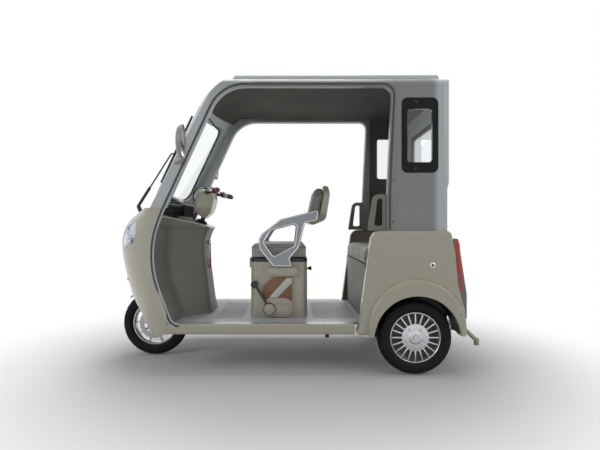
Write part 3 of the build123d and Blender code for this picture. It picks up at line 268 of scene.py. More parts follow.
# %% Helper for finishes
def placed(tree, group, **values):
    """A group node in this material, fed with object coordinates."""
    node = tree.nodes.new("ShaderNodeGroup")
    node.node_tree = group
    coordinates = tree.nodes.new("ShaderNodeTexCoord")
    tree.links.new(coordinates.outputs["Object"], node.inputs["Vector"])
    for label, value in values.items():
        node.inputs[label].default_value = value
    return node


def blended(tree, mask, first, second, most=1.0):
    """Mix two colours (tuples or sockets) by a mask."""
    node = tree.nodes.new("ShaderNodeMix")
    node.data_type = "RGBA"
    if most != 1.0:
        mask = maths(tree, "MULTIPLY", mask, most)
    tree.links.new(mask, node.inputs["Factor"])
    for socket, value in ((node.inputs[6], first), (node.inputs[7], second)):
        if isinstance(value, tuple):
            socket.default_value = (*value, 1)
        else:
            tree.links.new(value, socket)
    return node.outputs[2]


DUST_COLOUR = (0.36, 0.33, 0.28)


def coated(name, colour, roughness, scale=900.0, depth=0.1, dust=0.25, shade=0.9, metallic=0.0,
           coat=0.0, top=0.5):
    """A sprayed, moulded or cast finish; returns material, tree and Principled."""
    material = bpy.data.materials.new(name)
    material.use_nodes = True
    tree = material.node_tree
    shader = tree.nodes["Principled BSDF"]
    shader.inputs["Metallic"].default_value = metallic
    shader.inputs["Coat Weight"].default_value = coat
    shader.inputs["Coat Roughness"].default_value = 0.08
    mottle = placed(tree, MOTTLE, Scale=5.0).outputs["Mask"]
    darker = tuple(part * shade for part in colour)
    body = blended(tree, mottle, colour, darker)
    dusty = placed(tree, DUST, Top=top).outputs["Mask"]
    body = blended(tree, dusty, body, DUST_COLOUR, dust)
    tree.links.new(body, shader.inputs["Base Color"])
    tree.links.new(remap(tree, mottle, 0.0, 1.0, roughness, roughness + 0.08), shader.inputs["Roughness"])
    grain = placed(tree, GRAIN, Scale=scale, Depth=depth)
    tree.links.new(grain.outputs["Normal"], shader.inputs["Normal"])
    return material, tree, shader


# %% [markdown]
# Each finish is a call of the same function. On the pillars, along the cab's rear edge and on the roof's
# raised panel, the outer grey is mixed with a pale blue-grey by position: a painted highlight for the
# bright surroundings these faces reflect.

# %% Paints, plastics and metals
CREAM = coated("cream_paint", (0.50, 0.475, 0.37), 0.24, 700, 0.03, 0.16, 0.95, coat=0.3)[0]
# Pale blue-grey of the painted highlight on the outer grey's pillars, rear edge and roof panel.
PAINTED_SHEEN_GREY = (0.60, 0.64, 0.66)
PAINTED_SHEEN_RAMPS = {"X": ((-0.22, -0.55), (0.785, 0.82)), "Z": ((1.745, 1.765),)}
GREY, tree, shader = coated("warm_grey_paint", (0.285, 0.288, 0.280), 0.34, 800, 0.05, 0.10, 0.95,
                            coat=0.15)
coordinates = tree.nodes.new("ShaderNodeTexCoord")
split = tree.nodes.new("ShaderNodeSeparateXYZ")
tree.links.new(coordinates.outputs["Object"], split.inputs[0])
# Painted highlight mask, rising towards the front pillars, the cab's rear edge and the roof top.
painted_sheen = None
for axis, ramps in PAINTED_SHEEN_RAMPS.items():
    for ramp in ramps:
        mask = remap(tree, split.outputs[axis], *ramp)
        painted_sheen = mask if painted_sheen is None else maths(tree, "MAXIMUM", painted_sheen, mask)
own = shader.inputs["Base Color"].links[0].from_socket
tree.links.new(blended(tree, painted_sheen, own, PAINTED_SHEEN_GREY, 0.9), shader.inputs["Base Color"])
INNER_GREY = coated("inner_grey_moulding", (0.215, 0.213, 0.190), 0.5, 650, 0.18, 0.15, 0.93)[0]
DARK_LINING = coated("dark_lining", (0.125, 0.115, 0.102), 0.8, 1100, 0.3, 0.0, 0.85)[0]
BLACK_PLASTIC = coated("black_plastic", (0.010, 0.010, 0.011), 0.4, 800, 0.16, 0.05, 0.8)[0]
MATT_BLACK, tree, shader = coated("matt_black", (0.008, 0.008, 0.009), 0.85, 900, 0.1, 0.0, 0.9)
shader.inputs["Specular IOR Level"].default_value = 0.12
GLOSS_BLACK = coated("gloss_black", (0.006, 0.006, 0.007), 0.08, 500, 0.0, 0.0, 0.8, coat=0.6)[0]
BLACK_RUBBER = coated("black_rubber", (0.010, 0.010, 0.011), 0.5, 900, 0.12, 0.04, 0.8)[0]
# Dark grey of the door-opening bead: painted shade for the groove it sits in.
GROOVE_SHADE_GREY = coated("seal_grey", (0.085, 0.084, 0.078), 0.55, 900, 0.12, 0.05, 0.9)[0]
WINDOW_BLACK, tree, shader = coated("window_black", (0.002, 0.002, 0.003), 0.35, 900, 0.05, 0.0, 0.9)
shader.inputs["Specular IOR Level"].default_value = 0.2
FRAME_BLACK = coated("powder_coat", (0.022, 0.022, 0.024), 0.45, 1200, 0.2, 0.35, 0.8)[0]
SILVER = coated("cast_silver", (0.62, 0.63, 0.65), 0.24, 900, 0.1, 0.02, 0.9, metallic=0.85)[0]
ARM_SILVER = coated("arm_silver", (0.30, 0.315, 0.345), 0.34, 900, 0.06, 0.02, 0.92, metallic=0.35,
                    coat=0.3)[0]
CHROME = coated("chrome", (0.72, 0.73, 0.75), 0.07, 400, 0.0, 0.05, 0.95, metallic=1.0)[0]
LAMP_SILVER = coated("lamp_silver", (0.60, 0.68, 0.78), 0.32, 400, 0.0, 0.0, 0.96, metallic=0.5)[0]
CALIPER_RED = coated("caliper_red", (0.42, 0.015, 0.012), 0.3, 900, 0.1, 0.2, 0.9)[0]
GRIP_BROWN = coated("grip_brown", (0.115, 0.035, 0.022), 0.5, 1500, 0.3, 0.0, 0.8)[0]
MOTOR_CAST = coated("motor_casting", (0.24, 0.25, 0.26), 0.5, 700, 0.35, 0.35, 0.85, metallic=0.6)[0]
MIRROR = coated("mirror_silver", (0.82, 0.84, 0.86), 0.02, 300, 0.0, 0.0, 0.99, metallic=1.0)[0]
PANEL_BROWN = coated("brown_panel", (0.27, 0.125, 0.065), 0.35, 900, 0.08, 0.05, 0.8)[0]
EDGE_GOLD = coated("gold_edge", (0.50, 0.40, 0.20), 0.35, 900, 0.05, 0.0, 0.9)[0]
STRIPE_PALE = coated("pale_stripe", (0.66, 0.70, 0.66), 0.35, 900, 0.05, 0.1, 0.95)[0]
SWITCH_RED = coated("switch_red", (0.55, 0.06, 0.02), 0.35, 900, 0.08, 0.0, 0.9)[0]
MAUVE = coated("mirror_shell", (0.33, 0.325, 0.30), 0.3, 800, 0.05, 0.0, 0.92, coat=0.2)[0]
TAIL_RED = coated("tail_red", (0.85, 0.004, 0.003), 0.2, 500, 0.0, 0.0, 0.95, coat=0.25)[0]
FOB_RED = coated("fob_red", (0.50, 0.01, 0.07), 0.3, 900, 0.05, 0.0, 0.9)[0]
SCREW_DARK = coated("screw_dark", (0.07, 0.07, 0.07), 0.35, 900, 0.1, 0.0, 0.9, metallic=0.8)[0]

# %% Glass and lamp lenses
def clear(name, colour, roughness, weight=1.0):
    """See-through finish that still has faint smears in its roughness."""
    material = bpy.data.materials.new(name)
    material.use_nodes = True
    tree = material.node_tree
    shader = tree.nodes["Principled BSDF"]
    shader.inputs["Base Color"].default_value = (*colour, 1)
    shader.inputs["Transmission Weight"].default_value = weight
    shader.inputs["IOR"].default_value = 1.45
    smears = placed(tree, MOTTLE, Scale=9.0).outputs["Mask"]
    tree.links.new(remap(tree, smears, 0.0, 1.0, roughness, roughness + 0.03), shader.inputs["Roughness"])
    return material


GLASS = clear("clear_glass", (0.93, 0.95, 0.96), 0.0)
LAMP_GLASS = clear("lamp_glass", (0.95, 0.96, 0.97), 0.0)
RED_LENS = clear("red_lens", (0.65, 0.008, 0.010), 0.06, 0.35)

# %% [markdown]
# The floor mat is embossed with rows of interlaced ovals in front of and behind the seat. A pattern of
# rings, worked out from object coordinates, gives the height for a bump. The same mask darkens the ring
# lines.

# %% Embossed floor
FLOOR_GREY, tree, shader = coated("floor_grey", (0.56, 0.59, 0.62), 0.45, 700, 0.15, 0.1, 0.92)
coordinates = tree.nodes.new("ShaderNodeTexCoord")
split = tree.nodes.new("ShaderNodeSeparateXYZ")
tree.links.new(coordinates.outputs["Object"], split.inputs[0])
rings = None
for shift_x, shift_y in ((0.0, 0.0), (0.5, 0.5)):
    x = maths(tree, "ADD", maths(tree, "MULTIPLY", split.outputs["X"], 1 / 0.024), shift_x)
    y = maths(tree, "ADD", maths(tree, "MULTIPLY", split.outputs["Y"], 1 / 0.034), shift_y)
    x = maths(tree, "SUBTRACT", maths(tree, "FRACT", x), 0.5)
    y = maths(tree, "SUBTRACT", maths(tree, "FRACT", y), 0.5)
    reach = maths(tree, "SQRT", maths(tree, "ADD", maths(tree, "MULTIPLY", x, x),
                                      maths(tree, "MULTIPLY", y, y)))
    off_line = maths(tree, "ABSOLUTE", maths(tree, "SUBTRACT", reach, 0.38))
    ring = maths(tree, "SUBTRACT", 1.0, maths(tree, "MULTIPLY", off_line, 10.0))
    ring = maths(tree, "MAXIMUM", ring, 0.0)
    rings = ring if rings is None else maths(tree, "MAXIMUM", rings, ring)
inside = maths(tree, "LESS_THAN", maths(tree, "ABSOLUTE", split.outputs["Y"]), 0.31)
front_field = maths(tree, "COMPARE", split.outputs["X"], -0.412, 0.086)
rear_field = maths(tree, "COMPARE", split.outputs["X"], 0.243, 0.136)
field = maths(tree, "MULTIPLY", maths(tree, "MAXIMUM", front_field, rear_field), inside)
field = maths(tree, "MULTIPLY", field, maths(tree, "GREATER_THAN", split.outputs["Z"], 0.2965))
rings = maths(tree, "MULTIPLY", rings, field)
bump = tree.nodes.new("ShaderNodeBump")
bump.inputs["Distance"].default_value = 0.003
bump.inputs["Strength"].default_value = 0.9
tree.links.new(rings, bump.inputs["Height"])
tree.links.new(shader.inputs["Normal"].links[0].from_socket, bump.inputs["Normal"])
tree.links.new(bump.outputs[0], shader.inputs["Normal"])
plain = shader.inputs["Base Color"].links[0].from_socket
tree.links.new(blended(tree, rings, plain, (0.14, 0.145, 0.15), 0.85), shader.inputs["Base Color"])

# %% [markdown]
# Seats are artificial leather: pebbled and soft in sheen, with painted shade darkening the creases between
# pebbles and the pressed-in seams. The seam mask is an attribute painted on each cushion when its channels
# are pressed in.

# %% Leather
def leather(name, colour, scale, depth):
    material, tree, shader = coated(name, colour, 0.46, 1500, 0.05, 0.0, 0.92)
    pebbles = placed(tree, LEATHER, Scale=scale, Depth=depth)
    tree.links.new(pebbles.outputs["Normal"], shader.inputs["Normal"])
    plain = shader.inputs["Base Color"].links[0].from_socket
    # Painted shade: darker in the creases between pebbles, and through the seam mask in the pressed-in
    # seams.
    crease_shade = maths(tree, "SUBTRACT", 1.0, pebbles.outputs["Creases"])
    body = blended(tree, crease_shade, plain, tuple(part * 0.6 for part in colour), 0.4)
    seam = tree.nodes.new("ShaderNodeAttribute")
    seam.attribute_name = "seam"
    body = blended(tree, seam.outputs["Fac"], body, tuple(part * 0.3 for part in colour), 0.8)
    tree.links.new(body, shader.inputs["Base Color"])
    shader.inputs["Sheen Weight"].default_value = 0.08
    return material


CREAM_LEATHER = leather("cream_leather", (0.50, 0.49, 0.45), 330, 0.3)
GREY_LEATHER = leather("grey_leather", (0.27, 0.265, 0.235), 330, 0.3)

# %% Tyre rubber and brushed disc
TYRE_RUBBER, tree, shader = coated("tyre_rubber", (0.0035, 0.004, 0.006), 0.7, 700, 0.3, 0.012, 0.8,
                                   top=0.5)
shader.inputs["Specular IOR Level"].default_value = 0.28
DISC_STEEL, tree, shader = coated("brake_disc_steel", (0.42, 0.42, 0.43), 0.34, 600, 0.1, 0.1, 0.85,
                                  metallic=1.0)
print("finishes:", len(bpy.data.materials))

# %% Finishes of the CAD nodes
CAD_FINISHES = {
    "cream_paint": (CREAM, ["side_sills", "front_cowl", "dash_top", "quarter_panels", "rear_panel",
                            "seat_box", "seat_back_shell", "seat_side_pads", "head_cover",
                            "anti_tip_stays"]),
    "mirror_shell": (MAUVE, ["mirror_shells"]),
    "grey_paint": (GREY, ["windscreen_frame", "side_frames", "roof_shell", "rear_cab_sides",
                          "rear_cab_back"]),
    "inner_grey": (INNER_GREY, ["leg_shield", "grab_frames", "bench_base", "tail_lamp_trims"]),
    "floor_grey": (FLOOR_GREY, ["floor_pan"]),
    "liner_dark": (DARK_LINING, ["headliner"]),
    "black_plastic": (BLACK_PLASTIC, ["wheel_liners", "battery_pack", "seat_lid", "front_mudguard",
                                      "wiper"]),
    "black_rubber": (BLACK_RUBBER, ["column_boot"]),
    "window_black": (WINDOW_BLACK, ["window_frames"]),
    "frame_black": (FRAME_BLACK, ["chassis_frame", "parking_lever", "fork", "handlebar", "rear_axle",
                                  "leaf_springs"]),
    "clear_glass": (GLASS, ["windscreen_glass", "window_glass"]),
    "lamp_glass": (LAMP_GLASS, ["head_lamp_lenses"]),
    "red_lens": (RED_LENS, ["tail_lamps"]),
    "chrome_trim": (LAMP_SILVER, ["head_lamp_rims"]),
    "seat_cream": (CREAM_LEATHER, ["bench_cushion", "bench_back", "seat_cushion", "seat_back_pad"]),
    "arm_silver": (ARM_SILVER, ["armrests"]),
    "cast_silver": (SILVER, ["front_rim", "rear_rim_left", "rear_rim_right"]),
    "grip_brown": (GRIP_BROWN, ["grips"]),
    "caliper_red": (CALIPER_RED, ["brake_caliper"]),
    "disc_steel": (DISC_STEEL, ["brake_disc"]),
    "tyre_rubber": (TYRE_RUBBER, ["front_tyre", "rear_tyre_left", "rear_tyre_right"]),
    "motor_case": (MOTOR_CAST, ["drive_motor"]),
    "gloss_black": (GLOSS_BLACK, ["instrument_panel"]),
    "mirror_silver": (MIRROR, ["mirror_glasses"]),
}
for finish, names in CAD_FINISHES.values():
    for name in names:
        piece = nodes[name]
        piece.data.materials.clear()
        piece.data.materials.append(finish)
for name, inner in (("window_frames", DARK_LINING), ("rear_cab_sides", DARK_LINING)):
    frame_mesh = nodes[name].data
    frame_mesh.materials.append(inner)
    for face in frame_mesh.polygons:
        if face.center.y * face.normal.y < -0.2 * abs(face.center.y):
            face.material_index = 1
print("dressed nodes:", sum(len(names) for finish, names in CAD_FINISHES.values()))

# %% [markdown]
# ## Modelling helpers
# Every new piece starts from a primitive, is shaped in edit mode on faces or edges picked by
# place or direction, and ends with its modifiers applied, its object at the origin and its
# finish on. These few helpers do the repeated parts.

# %% Start, pick and settle


def deselect():
    if bpy.context.object and bpy.context.object.mode != "OBJECT":
        bpy.ops.object.mode_set(mode="OBJECT")
    bpy.ops.object.select_all(action="DESELECT")


def block(name, low, high):
    """Cube between two corners."""
    deselect()
    middle = (Vector(low) + Vector(high)) / 2
    bpy.ops.mesh.primitive_cube_add(size=1, location=middle)
    piece = bpy.context.object
    piece.name = name
    piece.scale = Vector(high) - Vector(low)
    bpy.ops.object.transform_apply(location=True, rotation=True, scale=True)
    return piece


def drum(name, radius, start, end, sides=24):
    """Cylinder between two points."""
    deselect()
    start, end = Vector(start), Vector(end)
    turn = (end - start).to_track_quat("Z", "Y").to_euler()
    bpy.ops.mesh.primitive_cylinder_add(vertices=sides, radius=radius, depth=(end - start).length,
                                        location=(start + end) / 2, rotation=turn)
    piece = bpy.context.object
    piece.name = name
    bpy.ops.object.transform_apply(location=True, rotation=True, scale=True)
    return piece


def bulb(name, radius, place, rings=12):
    """Sphere at a place."""
    deselect()
    bpy.ops.mesh.primitive_uv_sphere_add(segments=2 * rings, ring_count=rings, radius=radius,
                                         location=place)
    piece = bpy.context.object
    piece.name = name
    bpy.ops.object.transform_apply(location=True, rotation=True, scale=True)
    return piece


def hoop(name, radius, thick, place, turn=(90, 0, 0), sides=48, round_sides=8):
    """Torus at a place."""
    deselect()
    bpy.ops.mesh.primitive_torus_add(major_radius=radius, minor_radius=thick, major_segments=sides,
                                     minor_segments=round_sides, location=place,
                                     rotation=tuple(radians(angle) for angle in turn))
    piece = bpy.context.object
    piece.name = name
    bpy.ops.object.transform_apply(location=True, rotation=True, scale=True)
    return piece


def pick(piece, kind, test):
    """Enter edit mode with only the faces, edges or vertices that pass the test selected."""
    deselect()
    piece.select_set(True)
    bpy.context.view_layer.objects.active = piece
    mesh = piece.data
    modes = {"VERT": (True, False, False), "EDGE": (False, True, False), "FACE": (False, False, True)}
    bpy.context.tool_settings.mesh_select_mode = modes[kind]
    mesh.vertices.foreach_set("select", [False] * len(mesh.vertices))
    mesh.edges.foreach_set("select", [False] * len(mesh.edges))
    mesh.polygons.foreach_set("select", [False] * len(mesh.polygons))
    if kind == "FACE":
        for face in mesh.polygons:
            face.select = bool(test(face.center, face.normal))
    elif kind == "EDGE":
        for edge in mesh.edges:
            a, b = (mesh.vertices[index].co for index in edge.vertices)
            edge.select = bool(test(a, b))
    else:
        for vertex in mesh.vertices:
            vertex.select = bool(test(vertex.co))
    bpy.ops.object.mode_set(mode="EDIT")


def done():
    bpy.ops.object.mode_set(mode="OBJECT")


def rounded(piece, width, segments=2, angle=30):
    """Bevel modifier on edges sharper than an angle."""
    modifier = piece.modifiers.new("rounding", "BEVEL")
    modifier.width = width
    modifier.segments = segments
    modifier.limit_method = "ANGLE"
    modifier.angle_limit = radians(angle)
    return piece


def settle(piece, body, finish, angle=35):
    """Apply modifiers and place, smooth, dress and hang on its body."""
    deselect()
    piece.select_set(True)
    bpy.context.view_layer.objects.active = piece
    for modifier in list(piece.modifiers):
        bpy.ops.object.modifier_apply(modifier=modifier.name)
    bpy.ops.object.transform_apply(location=True, rotation=True, scale=True)
    bpy.ops.object.shade_smooth_by_angle(angle=radians(angle))
    piece.data.materials.clear()
    piece.data.materials.append(finish)
    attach(piece, body)
    return piece


def joined(name, pieces):
    """Several started pieces as one object."""
    deselect()
    for piece in pieces:
        piece.select_set(True)
    bpy.context.view_layer.objects.active = pieces[0]
    if len(pieces) > 1:
        bpy.ops.object.join()
    pieces[0].name = name
    return pieces[0]


def copied(piece, name, matrix):
    """A copy with its own mesh, moved by a matrix; turned the right way out if mirrored."""
    copy = piece.copy()
    copy.data = piece.data.copy()
    copy.name = name
    bpy.context.scene.collection.objects.link(copy)
    copy.data.transform(matrix)
    if matrix.determinant() < 0:
        copy.data.flip_normals()
    return copy


MIRROR_Y = Matrix.Scale(-1, 4, (0, 1, 0))


def both_sides(piece, name):
    """A left piece and its mirror image as one object."""
    return joined(name, [piece, copied(piece, name + "_right", MIRROR_Y)])


def tube(name, points, radius, closed=False, sides=3):
    """Round tube along a smooth line of points, as a mesh."""
    deselect()
    curve = bpy.data.curves.new(name, "CURVE")
    curve.dimensions = "3D"
    spline = curve.splines.new("NURBS")
    spline.points.add(len(points) - 1)
    for point, place in zip(spline.points, points):
        point.co = (*place, 1)
    spline.order_u = 3
    spline.use_endpoint_u = not closed
    spline.use_cyclic_u = closed
    spline.resolution_u = 6
    curve.bevel_depth = radius
    curve.bevel_resolution = sides
    curve.use_fill_caps = not closed
    piece = bpy.data.objects.new(name, curve)
    bpy.context.scene.collection.objects.link(piece)
    piece.select_set(True)
    bpy.context.view_layer.objects.active = piece
    bpy.ops.object.convert(target="MESH")
    return bpy.context.object


# %% [markdown]
# ## Cushions
# A stuffed cushion is a cloth bag pressed out by foam: its faces crown, its sides pull in between
# the corners, and it lies flat only where it rests. So each one is grown, not drawn. A slightly
# smaller copy of the CAD solid is remeshed, blown up as cloth, held flat underneath, and kept
# within a few millimetres of the solid. Seams are pressed in afterwards, with a mask that the
# leather reads.

# %% Grow a cushion from its CAD solid
def stuffed(name, node, voxel, shrink, cap, rest, body, finish, seams):
    """rest(place) is true where the cushion lies on something; seams are (axis, value, depth, width)."""
    deselect()
    piece = bpy.data.objects.new(name, nodes[node].data.copy())
    bpy.context.scene.collection.objects.link(piece)
    pick(piece, "VERT", lambda co: True)
    bpy.ops.mesh.remove_doubles(threshold=0.0002)
    done()
    piece.modifiers.new("even_mesh", "REMESH").mode = "VOXEL"
    piece.modifiers["even_mesh"].voxel_size = voxel
    bpy.ops.object.modifier_apply(modifier="even_mesh")
    pick(piece, "VERT", lambda co: True)
    bpy.ops.transform.shrink_fatten(value=-shrink)
    done()
    start = [vertex.co.copy() for vertex in piece.data.vertices]
    bag = piece.modifiers.new("stuffing", "CLOTH")
    bag.settings.quality = 4
    bag.settings.use_pressure = True
    bag.settings.uniform_pressure_force = 4.0
    bag.settings.effector_weights.gravity = 0.0
    bag.point_cache.frame_start = 1
    bag.point_cache.frame_end = 20
    for number in range(1, 21):
        bpy.context.scene.frame_set(number)
    bpy.ops.object.modifier_apply(modifier="stuffing")
    low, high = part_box(node)
    for vertex, before in zip(piece.data.vertices, start):
        move = vertex.co - before
        if rest(before):
            move *= 0.0
        if move.length > cap:
            move *= cap / move.length
        place = before + move
        vertex.co = [min(max(place[axis], low[axis]), high[axis]) for axis in range(3)]
    piece.modifiers.new("smooth_skin", "SUBSURF").levels = 1
    piece.modifiers["smooth_skin"].render_levels = 1
    bpy.ops.object.modifier_apply(modifier="smooth_skin")
    piece.data.update()
    mask = piece.data.attributes.new("seam", "FLOAT", "POINT")
    normals = [vertex.normal.copy() for vertex in piece.data.vertices]
    for vertex, normal in zip(piece.data.vertices, normals):
        deepest = 0.0
        for axis, value, depth, width, faces in seams:
            if not faces(vertex.co, normal):
                continue
            near = 2.718 ** (-((vertex.co[axis] - value) / width) ** 2)
            deepest = max(deepest, near)
            vertex.co -= normal * depth * near
        mask.data[vertex.index].value = deepest
    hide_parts(node)
    settle(piece, body, finish, 80)
    print(name, len(piece.data.vertices), "vertices")
    return piece


# %% Rear bench
upwards = lambda place, normal: normal.z > -0.2
forwards = lambda place, normal: normal.x < 0.3
stuffed("bench_seat_pad", "bench_cushion", 0.0085, 0.008, 0.013, lambda p: p.z < 0.646,
        "chassis", CREAM_LEATHER,
        [(1, 0.14, 0.006, 0.006, upwards), (1, -0.14, 0.006, 0.006, upwards),
         (0, 0.43, 0.004, 0.005, lambda p, n: n.z > 0.5), (2, 0.668, 0.003, 0.003, forwards)])
stuffed("bench_back_pad", "bench_back", 0.0075, 0.006, 0.011, lambda p: p.x > 0.836,
        "chassis", CREAM_LEATHER,
        [(1, 0.14, 0.005, 0.006, forwards), (1, -0.14, 0.005, 0.006, forwards),
         (2, 0.86, 0.004, 0.005, forwards)])

# %% Driver's seat
everywhere = lambda place, normal: abs(normal.z) < 0.6
stuffed("driver_seat_pad", "seat_cushion", 0.006, 0.007, 0.011, lambda p: p.z < 0.672,
        "seat_lid", CREAM_LEATHER,
        [(2, 0.728, 0.0022, 0.0026, everywhere), (1, 0.21, 0.003, 0.004, lambda p, n: n.z > 0.6),
         (1, -0.21, 0.003, 0.004, lambda p, n: n.z > 0.6)])
stuffed("driver_back_pad", "seat_back_pad", 0.005, 0.004, 0.007, lambda p: False, "chassis",
        GREY_LEATHER, [(1, 0.17, 0.003, 0.004, forwards), (1, -0.17, 0.003, 0.004, forwards)])

# %% [markdown]
# ## Tyres
# Scooter tyres have a rounded crown with rows of blocks between grooves, plain ribbed side
# walls and a bead on the rim. A section of the tyre is spun about the axle. Then the faces that
# are grooves are inset and sunk, so that the tread is real and the tyre keeps its diameter.

# %% Lathe about a wheel's axis
def lathe(name, profile, centre, steps, shut=True):
    """Closed ring of (radius, y) points spun about the axle, with points on the axis merged; shut is not
    used.
    """
    deselect()
    bpy.ops.mesh.primitive_circle_add(vertices=len(profile), radius=0.1, location=(0, 0, 0))
    piece = bpy.context.object
    piece.name = name
    for vertex, (radius, y) in zip(piece.data.vertices, profile):
        vertex.co = (centre[0] + radius, y, centre[1])
    pick(piece, "VERT", lambda co: True)
    bpy.ops.mesh.spin(steps=steps, angle=2 * pi, center=(centre[0], 0, centre[1]), axis=(0, 1, 0))
    bpy.ops.mesh.select_all(action="SELECT")
    bpy.ops.mesh.remove_doubles(threshold=0.00008)
    bpy.ops.mesh.normals_make_consistent(inside=False)
    done()
    return piece


def around(centre, place):
    """Radius and turn of a place about a wheel's axis."""
    x, z = place.x - centre[0], place.z - centre[1]
    return hypot(x, z), atan2(z, x) % (2 * pi)


# %% Tyre with sunk grooves
TYRE_STEPS = 120


def treaded(name, node, centre, middle, half, body):
    columns = [0.09, 0.16, 0.40, 0.48, 0.72]
    crown = [(0.215 - 0.0155 * (part / 0.86) ** 2.8, part) for part in columns] + [(0.2035, 0.86)]
    wall = [(0.196, 0.945), (0.186, 0.985), (0.176, 1.0), (0.170, 0.992), (0.1685, 1.0),
            (0.1655, 0.985), (0.160, 0.95),
            (0.153, 0.86), (0.1462, 0.74)]
    right = crown + wall
    left = [(radius, -part) for radius, part in right]
    profile = [(radius, middle + part * half) for radius, part in list(reversed(left)) + right]
    piece = lathe(name, profile, centre, TYRE_STEPS)

    def groove(place, normal):
        reach, turn = around(centre, place)
        part = abs(place.y - middle) / half
        if reach < 0.198 or part > 0.9:
            return False
        step = int(turn / (2 * pi) * TYRE_STEPS)
        if 0.10 < part < 0.15 or 0.41 < part < 0.47:
            return True
        if 0.16 < part < 0.40:
            return (step + (1 if place.y > middle else 0)) % 4 == 0
        if 0.48 < part < 0.86:
            return (step + (0 if place.y > middle else 2)) % 3 == 0
        return False

    pick(piece, "FACE", groove)
    bpy.ops.mesh.inset(thickness=0.0007, depth=-0.0048, use_boundary=True)
    done()
    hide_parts(node)
    return settle(piece, body, TYRE_RUBBER, 28)


FRONT_AXLE = (-0.940, 0.215)
REAR_AXLE = (0.689, 0.215)
treaded("front_tyre_tread", "front_tyre", FRONT_AXLE, 0.0, 0.045, "front_wheel")
treaded("rear_tyre_tread_left", "rear_tyre_left", REAR_AXLE, -0.418, 0.056, "rear_wheel_left")
treaded("rear_tyre_tread_right", "rear_tyre_right", REAR_AXLE, 0.418, 0.056, "rear_wheel_right")

# %% [markdown]
# ## Wheels
# The rear wheels are cast, with about twenty thin spokes between a rolled lip and a wide hub
# disc that carries five nuts. One spoke is shaped from a block, drawn in towards the lip and
# rounded, then copied round the axle. The lip, barrel and hub are spun.

# %% Copies round an axle
def turned_copies(piece, centre, count, first=0.0):
    """Copies of a piece all round an axle, joined in one object."""
    pieces = []
    for number in range(count):
        turn = Matrix.Rotation(first + 2 * pi * number / count, 4, "Y")
        middle = Matrix.Translation((centre[0], 0, centre[1]))
        matrix = middle @ turn @ Matrix.Translation((-centre[0], 0, -centre[1]))
        pieces.append(copied(piece, f"{piece.name}_{number}", matrix))
    bpy.data.objects.remove(piece)
    return joined(pieces[0].name.rsplit("_", 1)[0], pieces)


def applied(piece):
    """Apply a started piece's modifiers, so that copies carry them."""
    deselect()
    piece.select_set(True)
    bpy.context.view_layer.objects.active = piece
    for modifier in list(piece.modifiers):
        bpy.ops.object.modifier_apply(modifier=modifier.name)
    return piece


def spoke(name, centre, inner, outer, y_low, y_high, root, tip):
    """Spoke from hub to lip, drawn in towards its tip."""
    x, z = centre
    piece = block(name, (x + inner, y_low, z - root / 2), (x + outer, y_high, z + root / 2))
    pick(piece, "FACE", lambda place, normal: normal.x > 0.9)
    bpy.ops.transform.resize(value=(1, 0.8, tip / root),
                             center_override=(x + outer, (y_low + y_high) / 2, z))
    done()
    return applied(rounded(piece, 0.0012, 2))


# %% Rear wheel
def nut(name, centre, reach, radius, y_low, y_high):
    """Six-sided nut with chamfered corners, out from the axle."""
    piece = drum(name, radius, (centre[0] + reach, y_high, centre[1]),
                 (centre[0] + reach, y_low, centre[1]), 6)
    return applied(rounded(piece, radius * 0.14, 1))


def rear_wheel():
    centre = REAR_AXLE
    lip = lathe("rear_lip", [(0.1458, -0.4605), (0.1458, -0.376), (0.138, -0.376), (0.133, -0.388),
                             (0.133, -0.438),
                             (0.1375, -0.452), (0.1400, -0.4600), (0.1425, -0.4618)], centre, 96)
    hub = lathe("rear_hub", [(0.0146, -0.336), (0.060, -0.336), (0.062, -0.342), (0.062, -0.438),
                             (0.080, -0.444), (0.0815, -0.453),
                             (0.079, -0.4575), (0.070, -0.4590), (0.040, -0.4590), (0.036, -0.4625),
                             (0.027, -0.4640),
                             (0.0146, -0.4640)], centre, 64)
    arms = turned_copies(spoke("rear_spoke", centre, 0.074, 0.1375, -0.458, -0.446, 0.0095, 0.0075),
                         centre, 20)
    nuts = turned_copies(nut("rear_nut", centre, 0.055, 0.0085, -0.4680, -0.4585), centre, 5, 0.3)
    middle = nut("axle_nut", centre, 0.0, 0.0175, -0.4755, -0.4630)
    washer = lathe("axle_washer", [(0.0, -0.4630), (0.024, -0.4630), (0.024, -0.4660), (0.0, -0.4660)],
                   centre, 32)
    return joined("rear_wheel_left_cast", [lip, hub, arms, nuts, middle, washer])


rear_cast = rear_wheel()
right_cast = copied(rear_cast, "rear_wheel_right_cast", MIRROR_Y)
# A black disc behind the spokes is painted shade, standing for the dark depth inside the wheel.
wheel_depth_shade = lathe("rear_wheel_left_backing", [(0.064, -0.431), (0.096, -0.431), (0.104, -0.426),
                                            (0.1315, -0.424), (0.1315, -0.416),
                                            (0.064, -0.416)], REAR_AXLE, 64)
right_wheel_depth_shade = copied(wheel_depth_shade, "rear_wheel_right_backing", MIRROR_Y)
settle(wheel_depth_shade, "rear_wheel_left", FRAME_BLACK)
settle(right_wheel_depth_shade, "rear_wheel_right", FRAME_BLACK)
for piece, side in ((rear_cast, "left"), (right_cast, "right")):
    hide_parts(f"rear_rim_{side}")
    settle(piece, f"rear_wheel_{side}", SILVER, 40)

